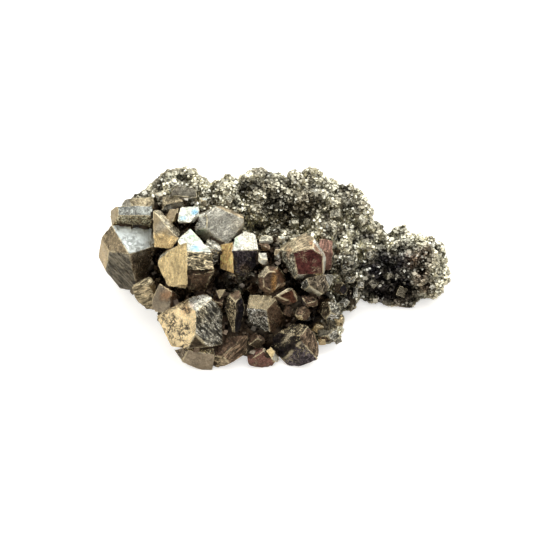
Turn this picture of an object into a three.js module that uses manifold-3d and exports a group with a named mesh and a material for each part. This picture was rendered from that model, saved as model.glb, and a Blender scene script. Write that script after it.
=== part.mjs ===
// Pyrite cluster, 92 mm long: bright crystals grown over a lumpy mass of fine ones, lying on a flat cut base.
// Millimetres, +Z up. The origin is on the resting plane, under the middle of the specimen.
import * as THREE from "three";
import { ConvexGeometry } from "three/addons/geometries/ConvexGeometry.js";
import { mergeVertices } from "three/addons/utils/BufferGeometryUtils.js";
import Module from "manifold-3d";

const wasm = await Module();
wasm.setup();

// The show face, where the big crystals sit, lies back from the horizontal by this angle. Crystals are
// placed on it: u runs to the right, v up the face and w straight out of it.
const FACE_TILT = THREE.MathUtils.degToRad(40);
const FACE_HEIGHT = 19;
const SHIFT_X = -1.9;
const SHIFT_Y = -10;

// Each crystal: name, top point (u, v, w), depth, facets (slope right, slope up, lift) and sides
// (direction in degrees, distance). A facet falls from the top point by its slopes, and a lift above 0 starts
// it past that point. The sides are the crystal's outline, seen from straight above the show face.
const SIDE_UNDERCUT = 0.22;
const CRYSTALS = [
  ["far_left_block", [-35.2, 3.1, -1.0], 16,
    [[0.34, 0.7, 0], [-0.59, 0.11, 0], [-0.81, -1.35, 0], [0.95, -1.1, 0], [-2.4, -0.9, 9.3]],
    [[95, 7.7], [6, 6.5], [346, 5.7], [322, 6.5], [270, 9.5], [211, 8.35], [156, 9.3], [140, 8.7]]],
  ["left_slab", [-38.2, 13.1, -3.0], 9,
    [[0.1, 0.5, 0], [0.1, -1.2, 0], [-2, 0.23, 0]],
    [[92, 2.6], [0, 9], [190, 2.4], [270, 3.2]]],
  ["left_blade", [-25.0, 10.7, -0.5], 9,
    [[-0.35, 0.1, 0], [0.85, 1.16, -0.9], [-0.42, -0.3, 1.08]],
    [[180, 4.2], [90, 3.5], [41, 1.0], [270, 6.2], [330, 3.5]]],
  ["blade_chip", [-24.0, 13.0, -2.5], 7,
    [[-0.5, 0.3, 0], [0.8, -0.4, 0.6]],
    [[180, 1.8], [90, 2.0], [0, 1.4], [270, 1.8], [135, 1.9]]],
  ["white_cube", [-20.0, 13.2, -1.6], 7,
    [[0.15, 0.7, 0], [1.5, -0.3, 2.6], [0, -1.5, 4.3]],
    [[95, 2.3], [0, 2.8], [180, 2.6], [270, 2.3], [315, 2.5]]],
  ["upper_left_block", [-33.2, 16.5, -8.7], 6,
    [[0.05, 0.5, 0], [-0.7, 0.1, 1.6], [0.6, -0.2, 1.9]],
    [[95, 1.5], [0, 4.1], [180, 4.6], [270, 2.2], [50, 3.5], [140, 3.7]]],
  ["tuft_slab", [-21.4, 18.8, -9.6], 7,
    [[0.25, 0.55, 0], [0.1, -1.1, 1.0]],
    [[90, 2.1], [0, 3.3], [180, 3.6], [238, 2.3], [215, 2.6], [282, 2.2], [140, 3.1], [45, 2.9]]],
  ["brown_ledge", [-24.6, 16.4, -8.2], 6,
    [[-0.1, 0.7, 0], [0.2, -0.8, 0], [-0.9, 0.1, 1.5]],
    [[85, 1.8], [0, 3.4], [180, 2.8], [270, 2.2], [40, 2.6]]],
  ["tuft_chip", [-28.0, 18.5, -10.0], 4,
    [[0.1, 0.6, 0], [-0.8, -0.3, 0.2], [0.5, -0.7, 0.4]],
    [[90, 0.9], [0, 1.1], [180, 1.5], [270, 0.9]]],
  ["top_chip", [-16.3, 17.2, -7.4], 4,
    [[0.15, 0.6, 0], [0.4, -0.8, 0.2], [-0.9, -0.2, 0.5]],
    [[90, 0.8], [0, 1.0], [180, 0.9], [270, 1.6]]],
  ["flat_octagon", [-11.0, 11.0, -1.0], 9,
    [[0.1, 0.2, 0], [-0.8, 0.2, 3.9], [-0.7, -0.8, 4.83], [0.66, 1.49, 4.6], [1.35, -0.81, 6.6],
      [-0.9, 1.3, 6.7]],
    [[66, 4.2], [110, 5.0], [180, 7.4], [225, 7.0], [250, 6.2], [321, 5.2], [0, 5.4]]],
  ["central_left_face", [-20.3, 1.5, 5.0], 12,
    [[-0.75, 0.05, 0], [-0.5, -1.8, 11.2], [-1.66, 1.24, 7.1]],
    [[0, 0.3], [180, 7.6], [211, 7.4], [265, 7.2], [140, 6.2], [100, 4.5]]],
  ["central_left_top", [-20.2, 3.7, 5.0], 12,
    [[0.1, 0.85, 0], [0.1, 0.05, 0], [-0.75, 0.05, 0]],
    [[8, 6.1], [37, 4.8], [95, 6.5], [139, 4.1], [180, 2.5], [270, 4.6]]],
  ["central_left_step", [-17.0, -2.5, 3.4], 9,
    [[0.45, -0.9, 0], [1.6, -1.4, 3.4], [0.2, 0.6, 0.9]],
    [[270, 4.3], [330, 4.2], [0, 4.0], [250, 4.6], [210, 4.6], [90, 2.2], [180, 3.8]]],
  ["striped_wedge", [-13.5, 4.3, 2.4], 7,
    [[0.25, 1.1, 0], [0.2, -0.9, 0], [-0.9, 0, 1.2]],
    [[0, 2.1], [75, 2.6], [180, 2.2], [270, 4.0], [45, 2.2]]],
  ["gold_side", [-9.6, 3.0, 3.3], 7,
    [[-1.0, 0.1, 0]],
    [[180, 2.3], [0, 1.2], [90, 3.1], [262, 4.2], [215, 3.6]]],
  ["middle_block", [-8.5, 4.0, 4.2], 9,
    [[0.25, 0.75, 0], [0.3, -0.55, 0]],
    [[132, 2.6], [65, 6.3], [0, 6.5], [318, 7.0], [232, 4.8], [180, 0.4]]],
  ["brown_oval", [1.2, -3.6, 4.5], 9,
    [[0.05, -0.15, 0], [0, 0.95, 2.6], [1.0, 0.3, 2.1], [0.9, -0.9, 2.5], [-0.4, -1.2, 2.7],
      [-1.1, -0.2, 2.3], [-0.9, 0.7, 2.6]],
    [[0, 3.7], [45, 3.7], [90, 3.8], [135, 3.7], [180, 3.4], [225, 3.6], [270, 3.7], [315, 3.7]]],
  ["bright_chip", [-0.8, 2.2, 3.2], 9,
    [[0.2, 0.9, 0], [0.1, -0.6, 0.6], [-0.9, 0.3, 0.8]],
    [[0, 1.1], [90, 1.5], [180, 1.4], [235, 1.7], [270, 2.0]]],
  ["upper_chip", [-0.1, 6.9, 0.8], 9,
    [[0.1, 0.9, 0], [0.2, -0.8, 0.5]],
    [[0, 1.9], [90, 1.2], [180, 1.8], [270, 1.3]]],
  ["brown_chip", [-0.6, 5.0, 1.0], 9,
    [[-0.2, -0.5, 0], [0.4, 0.7, 0.3]],
    [[0, 1.6], [90, 1.0], [180, 1.4], [270, 1.1]]],
  ["maroon_block", [10.8, 1.2, 4.0], 10,
    [[0.3, -0.45, 0], [0.1, 0.95, 4.3], [1.11, 0.81, 4.8], [-0.97, -0.7, 4.6], [0.3, -1.6, 3.8],
      [1.6, -0.4, 4.7], [-0.5, 0.9, 6.2]],
    [[186, 6.6], [216, 5.6], [271, 4.5], [350, 4.6], [28, 4.6], [49, 5.4], [120, 7.3]]],
  ["tan_bead", [2.8, 3.1, 2.2], 6,
    [[-0.3, 0.5, 0], [0.7, -0.2, 0], [-0.4, -0.8, 0.3]],
    [[90, 1.4], [0, 1.1], [180, 0.9], [270, 1.6], [225, 1.3], [315, 1.4]]],
  ["white_bead", [3.8, 7.0, 1.0], 6,
    [[0.1, 0.7, 0], [0.5, -0.5, 0], [-0.7, -0.2, 0.1]],
    [[90, 0.9], [0, 1.0], [180, 0.9], [270, 1.1], [225, 1.0], [315, 1.0]]],
  ["edge_plate", [-8.4, -2.4, 2.0], 5,
    [[0.3, -0.9, 0], [-0.2, 0.8, 0]],
    [[57, 0.35], [237, 0.35], [147, 2.7], [327, 2.7]]],
  ["corner_block", [16.2, -10.6, -1.4], 7,
    [[-0.6, -0.15, 0], [0.55, 0.15, 0], [0.1, -0.7, 0.9]],
    [[90, 1.7], [30, 2.5], [0, 2.8], [300, 5.0], [270, 4.5], [225, 2.95], [180, 2.8], [150, 2.45]]],
  ["corner_foot", [16.4, -17.2, -2.6], 6,
    [[-0.25, 0.35, 0], [0.5, -0.5, 0], [-0.1, -0.9, 0.7]],
    [[90, 1.2], [40, 1.9], [0, 2.0], [315, 2.6], [270, 2.4], [200, 3.2], [165, 3.4]]],
  ["neck_block", [19.2, -5.6, -6.4], 6,
    [[-0.35, 0.25, 0], [0.6, -0.2, 0], [0, -0.9, 0.8]],
    [[90, 1.6], [45, 1.7], [0, 1.9], [300, 1.9], [250, 1.8], [180, 1.8], [135, 1.8]]],
  ["neck_chip", [21.6, -3.3, -7.6], 6,
    [[0.1, 0.7, 0], [0.6, -0.4, 0.1], [-0.7, -0.3, 0.3]],
    [[90, 0.8], [0, 1.8], [270, 1.1], [180, 1.3], [320, 1.5]]],
  ["neck_splinter", [23.2, -6.4, -10.6], 5,
    [[0.5, 0.1, 0], [-0.4, 0.3, 0]],
    [[0, 0.9], [180, 0.7], [110, 1.6], [285, 1.7]]],
  ["red_sliver", [15.8, 4.0, -0.5], 7,
    [[0.9, 0.3, 0], [0.6, -0.7, 0.4]],
    [[0, 1.4], [90, 2.9], [180, 2.5], [270, 5.0]]],
  ["grey_lobe", [13.0, -4.5, 1.5], 8,
    [[0.35, -0.3, 0], [-0.2, -1.2, 1.6], [1.4, 0, 2.9], [-1.0, -0.6, 3.1]],
    [[106, 2.2], [355, 4.1], [315, 2.9], [270, 4.0], [235, 3.2], [180, 4.4]]],
  ["brown_bar_block", [5.6, -7.0, 3.0], 9,
    [[0.5, -0.35, 0], [-0.06, 0.82, 1.0], [0.1, -1.3, 1.7], [1.5, 0.1, 1.7]],
    [[126, 1.5], [56, 1.8], [5, 2.4], [300, 2.9], [270, 3.0], [225, 3.1]]],
  ["lower_middle_block", [0.0, -11.0, 3.5], 10,
    [[-0.35, 0.35, 0], [0.82, -0.75, 0], [-0.47, -0.94, 0]],
    [[85, 3.8], [40, 3.5], [8, 4.6], [320, 6.1], [268, 5.9], [235, 6.6], [194, 5.4], [172, 5.2],
      [149, 5.8]]],
  ["small_tan_block", [10.8, -9.0, 1.2], 9,
    [[0.1, 0.4, 0], [0.5, -0.9, 0.5], [-0.9, -0.2, 1.0]],
    [[90, 1.6], [55, 1.9], [0, 2.5], [315, 2.3], [270, 1.6], [245, 1.6], [180, 2.4]]],
  ["small_brown_block", [9.3, -12.0, 1.5], 9,
    [[-0.3, 0.3, 0], [0.8, -0.6, 0.3], [-0.4, -1.0, 0.9]],
    [[90, 1.9], [40, 1.9], [0, 2.0], [315, 2.1], [270, 1.9], [220, 2.0], [170, 2.0]]],
  ["lower_right_block", [8.4, -17.5, 2.0], 8,
    [[0.5, 0.15, 0], [-0.74, -0.25, 0], [-0.5, 0.9, -0.4], [-0.35, -0.6, 0.7]],
    [[226, 7.8], [121, 3.4], [95, 3.1], [52, 3.1], [20, 3.9], [358, 5.1], [325, 7.2], [295, 7.8],
      [268, 8.5], [180, 8.6]]],
  ["plum_block", [-1.5, -22.5, -0.5], 6,
    [[0.2, -0.6, 0], [-0.5, 0.5, 0.4], [1.0, 0.2, 1.2]],
    [[90, 1.7], [50, 2.1], [330, 4.4], [270, 3.7], [250, 3.7], [190, 3.6], [150, 3.3]]],
  ["tan_chip", [1.6, -22.6, 0.3], 5,
    [[-0.3, 0.2, 0], [0.9, -0.4, 0.4]],
    [[40, 1.1], [220, 0.9], [135, 2.0], [310, 2.3]]],
  ["dark_chip", [-2.6, -19.0, 0.0], 6,
    [[0.3, -0.5, 0], [-0.6, 0.6, 0.5], [0.8, 0.6, 0.8]],
    [[0, 2.3], [60, 2.0], [120, 2.0], [180, 2.2], [240, 1.9], [300, 1.9]]],
  ["slim_blade", [-7.8, -9.0, 3.0], 9,
    [[-0.2, 0.4, 0], [0.5, -0.35, 0], [-1.0, -0.3, 0.2]],
    [[85, 3.1], [20, 2.0], [355, 2.6], [268, 8.0], [170, 2.6], [195, 3.2], [130, 2.6]]],
  ["front_left_block", [-17.8, -12.5, 5.0], 14,
    [[-0.5, 0, 0], [0.75, -0.05, 0], [0.04, 0.85, 1.02], [0.32, -0.46, 2.0], [-0.7, 0.9, 2.7]],
    [[104, 5.2], [45, 6.0], [0, 6.7], [300, 10], [270, 8.3], [210, 9.5], [116, 5.0]]],
  ["front_foot", [-18.0, -22.0, 1.5], 7,
    [[0, -0.8, 0], [-0.9, -0.3, 2.2], [0.3, 0.8, 0.5]],
    [[92, 1.4], [216, 4.5], [244, 3.9], [270, 4.7], [0, 4.8]]],
  ["front_brown_foot", [-9.5, -21.5, 0.8], 7,
    [[0.4, -0.4, 0], [-0.5, 0.6, 0.3], [-0.3, -1.0, 2.0]],
    [[90, 3.6], [0, 4.6], [140, 4.2], [301, 3.1], [265, 5.0], [185, 5.4]]],
  ["left_lower_wedge", [-31.0, -4.8, -2.0], 9,
    [[-0.3, 0.8, 0], [-0.4, -0.9, 0], [0.8, -0.2, 0.8]],
    [[120, 1.7], [40, 2.4], [0, 2.8], [225, 4.9], [270, 6.5], [180, 3.8], [240, 5.8]]],
  ["left_lower_block", [-24.2, -7.0, 1.6], 10,
    [[-0.45, -0.1, 0], [1.0, -0.3, 0], [0.1, 0.9, 0.7]],
    [[58, 1.0], [151, 4.1], [182, 5.4], [210, 6.2], [270, 4.9], [345, 2.3]]],
  ["tan_triangle", [-11.8, -6.5, 2.5], 9,
    [[-0.3, 0.1, 0]],
    [[90, 0.7], [330, 0.9], [210, 1.0]]],
];

// The mass the crystals grow from, as overlapping lumps: middle (x, y, z) and radii, in the resting frame.
const LUMPS = [
  [-16, 4, 4, 13, 14, 12],
  [-31, 13, 7, 9, 9, 10],
  [-32, 17.6, 13, 8.4, 9, 9.4],
  [4, 4, 4, 13, 14, 12],
  [-9, -8, 3, 14, 6, 6],
  [5, -7.5, 1.5, 8, 6, 5],
  [15, -2.3, 1.5, 4.8, 8.6, 6.5],
  [19.6, 7.2, 2.6, 5.5, 7.1, 7.5],
  [-23, 22, 11, 8.5, 10, 12],
  [-22.8, 28, 16.4, 8.3, 6, 5.5],
  [-10.8, 22.4, 11.2, 8, 10.3, 12.2],
  [-0.8, 24.9, 11.7, 10.2, 10.1, 12.8],
  [11.4, 24.3, 11, 9.2, 10.6, 13.2],
  [19.6, 22.6, 10.3, 6.2, 8.8, 11.5],
  [23.7, 18.8, 8.2, 5.5, 7.1, 10.7],
  [26.6, 15.5, 6.5, 5.4, 6, 9.1],
  [-20, 13, 12, 10, 9, 10.5],
  [17, 12, 11, 8, 8, 9.5],
  [4, 11, 9, 9, 8, 9],
  [29, 10.3, 5.3, 8, 9.2, 8.2],
  [36.8, 11.2, 5.1, 8.4, 9, 9.8],
  [34.5, 4.8, 1.5, 7, 2.8, 3],
  [42, 10.3, 4.8, 5.4, 7.3, 7.6],
];
// Hollows scooped out of the mass, in the same form.
const HOLLOWS = [
  [30, 1.5, 7, 9.5, 5.5, 5.5],
  [-5.5, 21.5, 22, 2.2, 3, 3],
];
// Small crystals on the show face, standing on the mass where they show: (u, v) and half size.
const SMALL_CRYSTALS = [
  [5.6, -11.2, 1.3], [13.3, -15.5, 1.3], [14.3, -19, 1.0], [20.6, -9.4, 1.1], [18.6, -13.8, 1.2],
  [16.6, -14.6, 1.4], [18.2, -18.6, 1.0], [20.3, -0.8, 1.4], [22.4, -5.4, 1.1], [21.4, -7.2, 1.2],
  [27.5, 2.8, 1.2], [31.9, -1.7, 1.3], [27.8, -4.1, 1.2], [35.4, -6.4, 1.3], [24.6, -4.4, 1.0],
  [-4, -5.6, 1.4], [-9.8, 17.6, 1.0], [7.4, 11.2, 1.1], [11, 11.4, 1.1], [-12.4, -9.2, 1.4],
  [18.4, 13.4, 1.5], [24.6, 12, 1.3],
];
// Larger crystals on the back and ends, in the resting frame: middle (x, y, z) and half size.
const BACK_CRYSTALS = [
  [-27, 29, 8, 5.0], [-16, 31, 7, 4.2], [-7, 32.2, 7, 4.6], [4, 33, 5.5, 3.8], [13, 32, 8, 4.2],
  [22, 28, 6, 3.8], [31, 17.5, 4.5, 3.4], [40, 17, 4.5, 3.2], [-37, 20, 6, 4.2], [-22, 32.5, 11, 3.2],
];

// The druse: how many clumps stand out of the mass, their half sizes, how far apart they are and how deep
// they sit.
const CLUMP_COUNT = 70;
const CLUMP_MIN = 1.6;
const CLUMP_MAX = 2.2;
const CLUMP_SPACING = 4.2;
const CLUMP_SINK = 0.5;
// Clumps keep this far from the big crystals and above the resting plane.
const CLUMP_CLEARANCE = 1.0;
const CLUMP_LOWEST = 1.5;
const DRUSE_SEED = 7;

// How much a cube's sides differ, and where a corner is cut, in half sizes from the middle.
const CUBE_UNEVEN = 0.3;
const CORNER_CUT = 1.35;

// How finely the lumps are faceted, the search range along a line of sight, and the size of the base cut.
const LUMP_DETAIL = 1;
const MASS_TOP = 12;
const MASS_BOTTOM = -45;
const MASS_STEP = 0.1;
const CUT_SPAN = 300;
// Points closer than this are one corner, and a corner this little past a plane is still on it.
const SAME_POINT = 1e-3;
const ON_PLANE = 1e-6;

function faceToRest(point) {
  return point.applyAxisAngle(new THREE.Vector3(1, 0, 0), FACE_TILT)
    .add(new THREE.Vector3(SHIFT_X, SHIFT_Y, FACE_HEIGHT));
}

function toSolid(geometry) {
  const bare = geometry.clone();
  bare.deleteAttribute("normal");
  bare.deleteAttribute("uv");
  const merged = mergeVertices(bare, SAME_POINT / 10);
  return new wasm.Manifold(new wasm.Mesh({
    numProp: 3,
    vertProperties: new Float32Array(merged.attributes.position.array),
    triVerts: new Uint32Array(merged.index.array),
  }));
}

// The convex body that lies behind every plane of a list: its corners are where three planes meet.
function convexBody(planes) {
  const corners = [];
  const inside = (p) => planes.every((plane) => plane.normal.dot(p) <= plane.reach + ON_PLANE);
  for (let i = 0; i < planes.length; i += 1) {
    for (let j = i + 1; j < planes.length; j += 1) {
      for (let k = j + 1; k < planes.length; k += 1) {
        const [a, b, c] = [planes[i], planes[j], planes[k]];
        const bc = b.normal.clone().cross(c.normal);
        const volume = a.normal.dot(bc);
        if (Math.abs(volume) < ON_PLANE) continue;
        const corner = bc.multiplyScalar(a.reach)
          .add(c.normal.clone().cross(a.normal).multiplyScalar(b.reach))
          .add(a.normal.clone().cross(b.normal).multiplyScalar(c.reach))
          .divideScalar(volume);
        const known = corners.some((other) => other.distanceTo(corner) < SAME_POINT);
        if (inside(corner) && !known) corners.push(corner);
      }
    }
  }
  return new ConvexGeometry(corners);
}

function planeThrough(normal, point) {
  const unit = normal.clone().normalize();
  return { normal: unit, reach: unit.dot(point) };
}

function crystalPlanes([, top, depth, facets, sides]) {
  const summit = new THREE.Vector3(...top);
  const heightAt = (right, up) => Math.min(...facets.map(([sr, su, lift]) => lift - sr * right - su * up));
  const planes = facets.map(([sr, su, lift]) =>
    planeThrough(new THREE.Vector3(sr, su, 1), summit.clone().add(new THREE.Vector3(0, 0, lift))));
  for (const [direction, distance] of sides) {
    const angle = THREE.MathUtils.degToRad(direction);
    const right = Math.cos(angle);
    const up = Math.sin(angle);
    const rim = new THREE.Vector3(right * distance, up * distance, heightAt(right * distance, up * distance));
    planes.push(planeThrough(new THREE.Vector3(right, up, -SIDE_UNDERCUT), rim.add(summit)));
  }
  planes.push(planeThrough(new THREE.Vector3(0, 0, -1), summit.clone().sub(new THREE.Vector3(0, 0, depth))));
  return planes;
}

// The same planes, carried from the show face to the resting frame.
function planesToRest(planes) {
  return planes.map(({ normal, reach }) => {
    const onPlane = faceToRest(normal.clone().multiplyScalar(reach));
    return planeThrough(normal.clone().applyAxisAngle(new THREE.Vector3(1, 0, 0), FACE_TILT), onPlane);
  });
}

function lumpSolid([x, y, z, rx, ry, rz]) {
  const geometry = new THREE.IcosahedronGeometry(1, LUMP_DETAIL);
  geometry.scale(rx, ry, rz);
  geometry.translate(x + SHIFT_X, y + SHIFT_Y, z);
  return toSolid(geometry);
}

// A small repeatable random source, so that the druse grows the same way every time.
function seededRandom(seed) {
  let state = seed;
  return () => {
    state = (state * 1664525 + 1013904223) % 4294967296;
    return state / 4294967296;
  };
}

function randomTurn(random) {
  return new THREE.Quaternion().setFromEuler(
    new THREE.Euler(random() * Math.PI, random() * Math.PI, random() * Math.PI));
}

// A near cube, turned at random about its middle.
function smallCrystal(middle, halfSize, random) {
  const planes = [];
  const turn = randomTurn(random);
  const addPlane = (x, y, z, reach) => {
    const normal = new THREE.Vector3(x, y, z).normalize().applyQuaternion(turn);
    planes.push({ normal, reach: reach + normal.dot(middle) });
  };
  for (const side of [1, -1]) {
    addPlane(side, 0, 0, halfSize);
    addPlane(0, side, 0, halfSize * (1 + CUBE_UNEVEN * (random() - 0.5)));
    addPlane(0, 0, side, halfSize);
  }
  return planes;
}

// The same cube with its corners cut to triangles.
function cutCorners(planes, middle, reach) {
  const faces = planes.slice(0, 6).map((plane) => plane.normal);
  for (const a of [faces[0], faces[3]]) {
    for (const b of [faces[1], faces[4]]) {
      for (const c of [faces[2], faces[5]]) {
        const normal = a.clone().add(b).add(c).normalize();
        planes.push({ normal, reach: reach + normal.dot(middle) });
      }
    }
  }
  return planes;
}

function inLump([x, y, z, rx, ry, rz], point) {
  const middle = new THREE.Vector3(x + SHIFT_X, y + SHIFT_Y, z);
  return point.clone().sub(middle).divide(new THREE.Vector3(rx, ry, rz)).length() < 1;
}

function inMass(point) {
  return LUMPS.some((lump) => inLump(lump, point)) && !HOLLOWS.some((hollow) => inLump(hollow, point));
}

// Where a line of sight at (u, v) first meets the mass, as a point in the resting frame.
function pointOnMass(u, v) {
  for (let w = MASS_TOP; w > MASS_BOTTOM; w -= MASS_STEP) {
    const point = faceToRest(new THREE.Vector3(u, v, w));
    if (inMass(point)) return point;
  }
  return null;
}

// A random point on the bare surface of the mass with the direction out of it, or null where the draw falls
// inside the mass or on a big crystal.
function druseSpot(shown, random) {
  const lump = LUMPS[Math.floor(random() * LUMPS.length)];
  const height = 2 * random() - 1;
  const around = 2 * Math.PI * random();
  const across = Math.sqrt(1 - height * height);
  const unit = new THREE.Vector3(across * Math.cos(around), across * Math.sin(around), height);
  const [x, y, z, rx, ry, rz] = lump;
  const radii = new THREE.Vector3(rx, ry, rz);
  const point = unit.clone().multiply(radii).add(new THREE.Vector3(x + SHIFT_X, y + SHIFT_Y, z));
  if (point.z < CLUMP_LOWEST) return null;
  if (LUMPS.some((other) => other !== lump && inLump(other, point))) return null;
  if (HOLLOWS.some((hollow) => inLump(hollow, point))) return null;
  const onCrystal = shown.some((planes) =>
    planes.every((plane) => plane.normal.dot(point) < plane.reach + CLUMP_CLEARANCE));
  return onCrystal ? null : { point, outward: unit.divide(radii).normalize() };
}

function joined(solids) {
  return solids.reduce((solid, other) => solid.add(other));
}

const crystalBodies = CRYSTALS.map((row) => planesToRest(crystalPlanes(row)));
const random = seededRandom(DRUSE_SEED);

const smallBodies = SMALL_CRYSTALS.map(([u, v, halfSize]) => {
  const spot = pointOnMass(u, v);
  return smallCrystal(spot, halfSize, random);
});

const backBodies = BACK_CRYSTALS.map(([x, y, z, halfSize]) => {
  const middle = new THREE.Vector3(x + SHIFT_X, y + SHIFT_Y, z);
  return cutCorners(smallCrystal(middle, halfSize, random), middle, halfSize * CORNER_CUT);
});

function druseBodies() {
  const shown = [...crystalBodies, ...backBodies];
  const spots = [];
  while (spots.length < CLUMP_COUNT) {
    const spot = druseSpot(shown, random);
    const crowded = !spot || spots.some((other) => other.point.distanceTo(spot.point) < CLUMP_SPACING);
    if (!crowded) spots.push(spot);
  }
  return spots.map(({ point, outward }) => {
    const halfSize = CLUMP_MIN + (CLUMP_MAX - CLUMP_MIN) * random();
    const middle = point.clone().addScaledVector(outward, -CLUMP_SINK * halfSize);
    return smallCrystal(middle, halfSize, random);
  });
}

const mass = joined(LUMPS.map(lumpSolid)).subtract(joined(HOLLOWS.map(lumpSolid)));
const grown = [...crystalBodies, ...smallBodies, ...backBodies, ...druseBodies()];
const belowRest = new THREE.BoxGeometry(CUT_SPAN, CUT_SPAN, CUT_SPAN);
belowRest.translate(0, 0, -CUT_SPAN / 2);
// Gaps sealed between the lumps are filled, so the specimen is its outer skin alone.
const whole = grown.reduce((solid, planes) => solid.add(toSolid(convexBody(planes))), mass)
  .subtract(toSolid(belowRest))
  .decompose()
  .reduce((largest, piece) => (piece.volume() > largest.volume() ? piece : largest));

function toMesh(solid, name, material) {
  const { vertProperties, triVerts } = solid.getMesh();
  const geometry = new THREE.BufferGeometry();
  geometry.setAttribute("position", new THREE.BufferAttribute(new Float32Array(vertProperties), 3));
  geometry.setIndex(new THREE.BufferAttribute(new Uint32Array(triVerts), 1));
  geometry.computeVertexNormals();
  const mesh = new THREE.Mesh(geometry, material);
  mesh.name = name;
  return mesh;
}

const pyrite = new THREE.MeshStandardMaterial({ color: 0x9c927c, roughness: 0.32, metalness: 1.0 });
const specimen = new THREE.Group();
specimen.add(toMesh(whole, "pyrite_cluster", pyrite));

export default specimen;
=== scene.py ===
# %% [markdown]
# A pyrite cluster. It has nearly fifty bright crystals with flat faces, grown over a lumpy mass, and the
# mass is covered with a druse, a crust of thousands of tiny crystals. The imported model gives the form, the
# size and the place of everything, so it is loaded first and nothing in it is moved.

# %% Load the frame
import itertools
import math

import bmesh
import bpy
import numpy as np
from mathutils import Matrix, Vector
from mathutils.bvhtree import BVHTree
from mathutils.geometry import delaunay_2d_cdt


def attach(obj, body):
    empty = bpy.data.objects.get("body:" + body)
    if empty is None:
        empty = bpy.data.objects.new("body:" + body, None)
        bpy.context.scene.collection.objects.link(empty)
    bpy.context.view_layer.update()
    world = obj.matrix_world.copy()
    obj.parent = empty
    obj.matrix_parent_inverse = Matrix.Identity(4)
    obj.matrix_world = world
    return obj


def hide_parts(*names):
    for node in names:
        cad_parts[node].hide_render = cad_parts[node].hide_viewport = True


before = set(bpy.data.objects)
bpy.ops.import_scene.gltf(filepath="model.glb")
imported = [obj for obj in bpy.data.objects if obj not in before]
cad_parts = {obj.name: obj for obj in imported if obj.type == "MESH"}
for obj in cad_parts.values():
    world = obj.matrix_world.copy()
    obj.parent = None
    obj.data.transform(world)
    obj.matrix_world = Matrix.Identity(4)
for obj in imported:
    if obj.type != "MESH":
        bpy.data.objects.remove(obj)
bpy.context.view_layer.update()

MM = 0.001
CLUSTER = "pyrite_cluster"

# %% [markdown]
# The show face. The big crystals sit on a side of the mass that lies back from the horizontal by 40
# degrees. It is easier to place things on that side in its own directions, u to the right, v up the
# face and w straight out of it, than in the upright frame. Two small helpers go from one to the other,
# in millimetres.

# %% Show face
FACE_TILT = math.radians(40)
FACE_ORIGIN = np.array([-1.9, -10.0, 19.0])
FACE_AXES = np.array([
    [1, 0, 0],
    [0, math.cos(FACE_TILT), math.sin(FACE_TILT)],
    [0, -math.sin(FACE_TILT), math.cos(FACE_TILT)],
])


def face_to_rest(points):
    return np.asarray(points, float) @ FACE_AXES + FACE_ORIGIN


def rest_to_face(points):
    return (np.asarray(points, float) - FACE_ORIGIN) @ FACE_AXES.T


print("middle of the show face, mm:", face_to_rest([0, 0, 0]))

# %% [markdown]
# The camera. The photo was taken from half a metre away, looking straight at the show face, with 0.256
# mm of the specimen to each of its 533 pixels. A lens length on a 36 mm sensor follows from those three
# numbers.

# %% Camera
CAMERA_DISTANCE = 500.0
PIXEL_SIZE = 0.2557
PICTURE_SIDE = 533
SENSOR = 36.0
# The farthest thing that the camera draws, in metres.
CAMERA_REACH = 20

scene = bpy.context.scene
camera_data = bpy.data.cameras.new("camera")
camera_data.sensor_width = SENSOR
camera_data.lens = CAMERA_DISTANCE / (PIXEL_SIZE * PICTURE_SIDE) * SENSOR
camera_data.clip_end = CAMERA_REACH
camera = bpy.data.objects.new("camera", camera_data)
camera.location = face_to_rest([0, 0, CAMERA_DISTANCE]) * MM
camera.rotation_euler = (FACE_TILT, 0, 0)
scene.collection.objects.link(camera)
scene.camera = camera
print("lens length, mm:", round(camera_data.lens, 1))

# %% [markdown]
# Nodes. The light, the finishes and the druse are all made with nodes, and the same few acts come back
# all the time: a node is added with its settings, an input gets a link or a plain value, and a group
# gets named inputs and outputs. Small helpers do these, so that the later cells say what is joined to
# what and little else.

# %% Node helpers
def feed(tree, socket, value):
    """Gives an input a link from another node's output, or else a plain value."""
    if isinstance(value, bpy.types.NodeSocket):
        tree.links.new(value, socket)
    else:
        socket.default_value = value


def add_node(tree, kind, values=None, **settings):
    """A new node with its settings, and with what goes into its inputs, by name or by number."""
    node = tree.nodes.new(kind)
    for label, setting in settings.items():
        setattr(node, label, setting)
    for label, value in (values or {}).items():
        feed(tree, node.inputs[label], value)
    return node


def new_group(name, kind, inputs, outputs):
    """An empty group of nodes with named inputs and outputs, and what its input node puts out."""
    group = bpy.data.node_groups.new(name, kind)
    for label, sort, value in inputs:
        socket = group.interface.new_socket(label, in_out="INPUT", socket_type="NodeSocket" + sort)
        if value is not None:
            socket.default_value = value
    for label, sort in outputs:
        group.interface.new_socket(label, in_out="OUTPUT", socket_type="NodeSocket" + sort)
    return group, add_node(group, "NodeGroupInput").outputs


def math_node(tree, operation, first, second, clamp=False):
    node = add_node(tree, "ShaderNodeMath", {0: first, 1: second}, operation=operation, use_clamp=clamp)
    return node.outputs[0]


def times(tree, first, second):
    return math_node(tree, "MULTIPLY", first, second)


def plus(tree, first, *others):
    for other in others:
        first = math_node(tree, "ADD", first, other)
    return first


print("helpers for nodes: feed, add_node, new_group, math_node, times, plus")

# %% [markdown]
# The light. Pyrite is a metal, so what shows in a face is what the face mirrors. Faces that lean up the
# show face are white because they mirror a bright window behind, faces that lean left are straw-
# coloured, and faces that look down to the right are nearly black. A few lamps would leave hard-edged
# patches, so soft glows are painted in the sky instead, each a direction, a width and a colour, over a
# dim warm base. The last six are small and strong, and the tiny faces that happen to mirror one of them
# sparkle.

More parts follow.
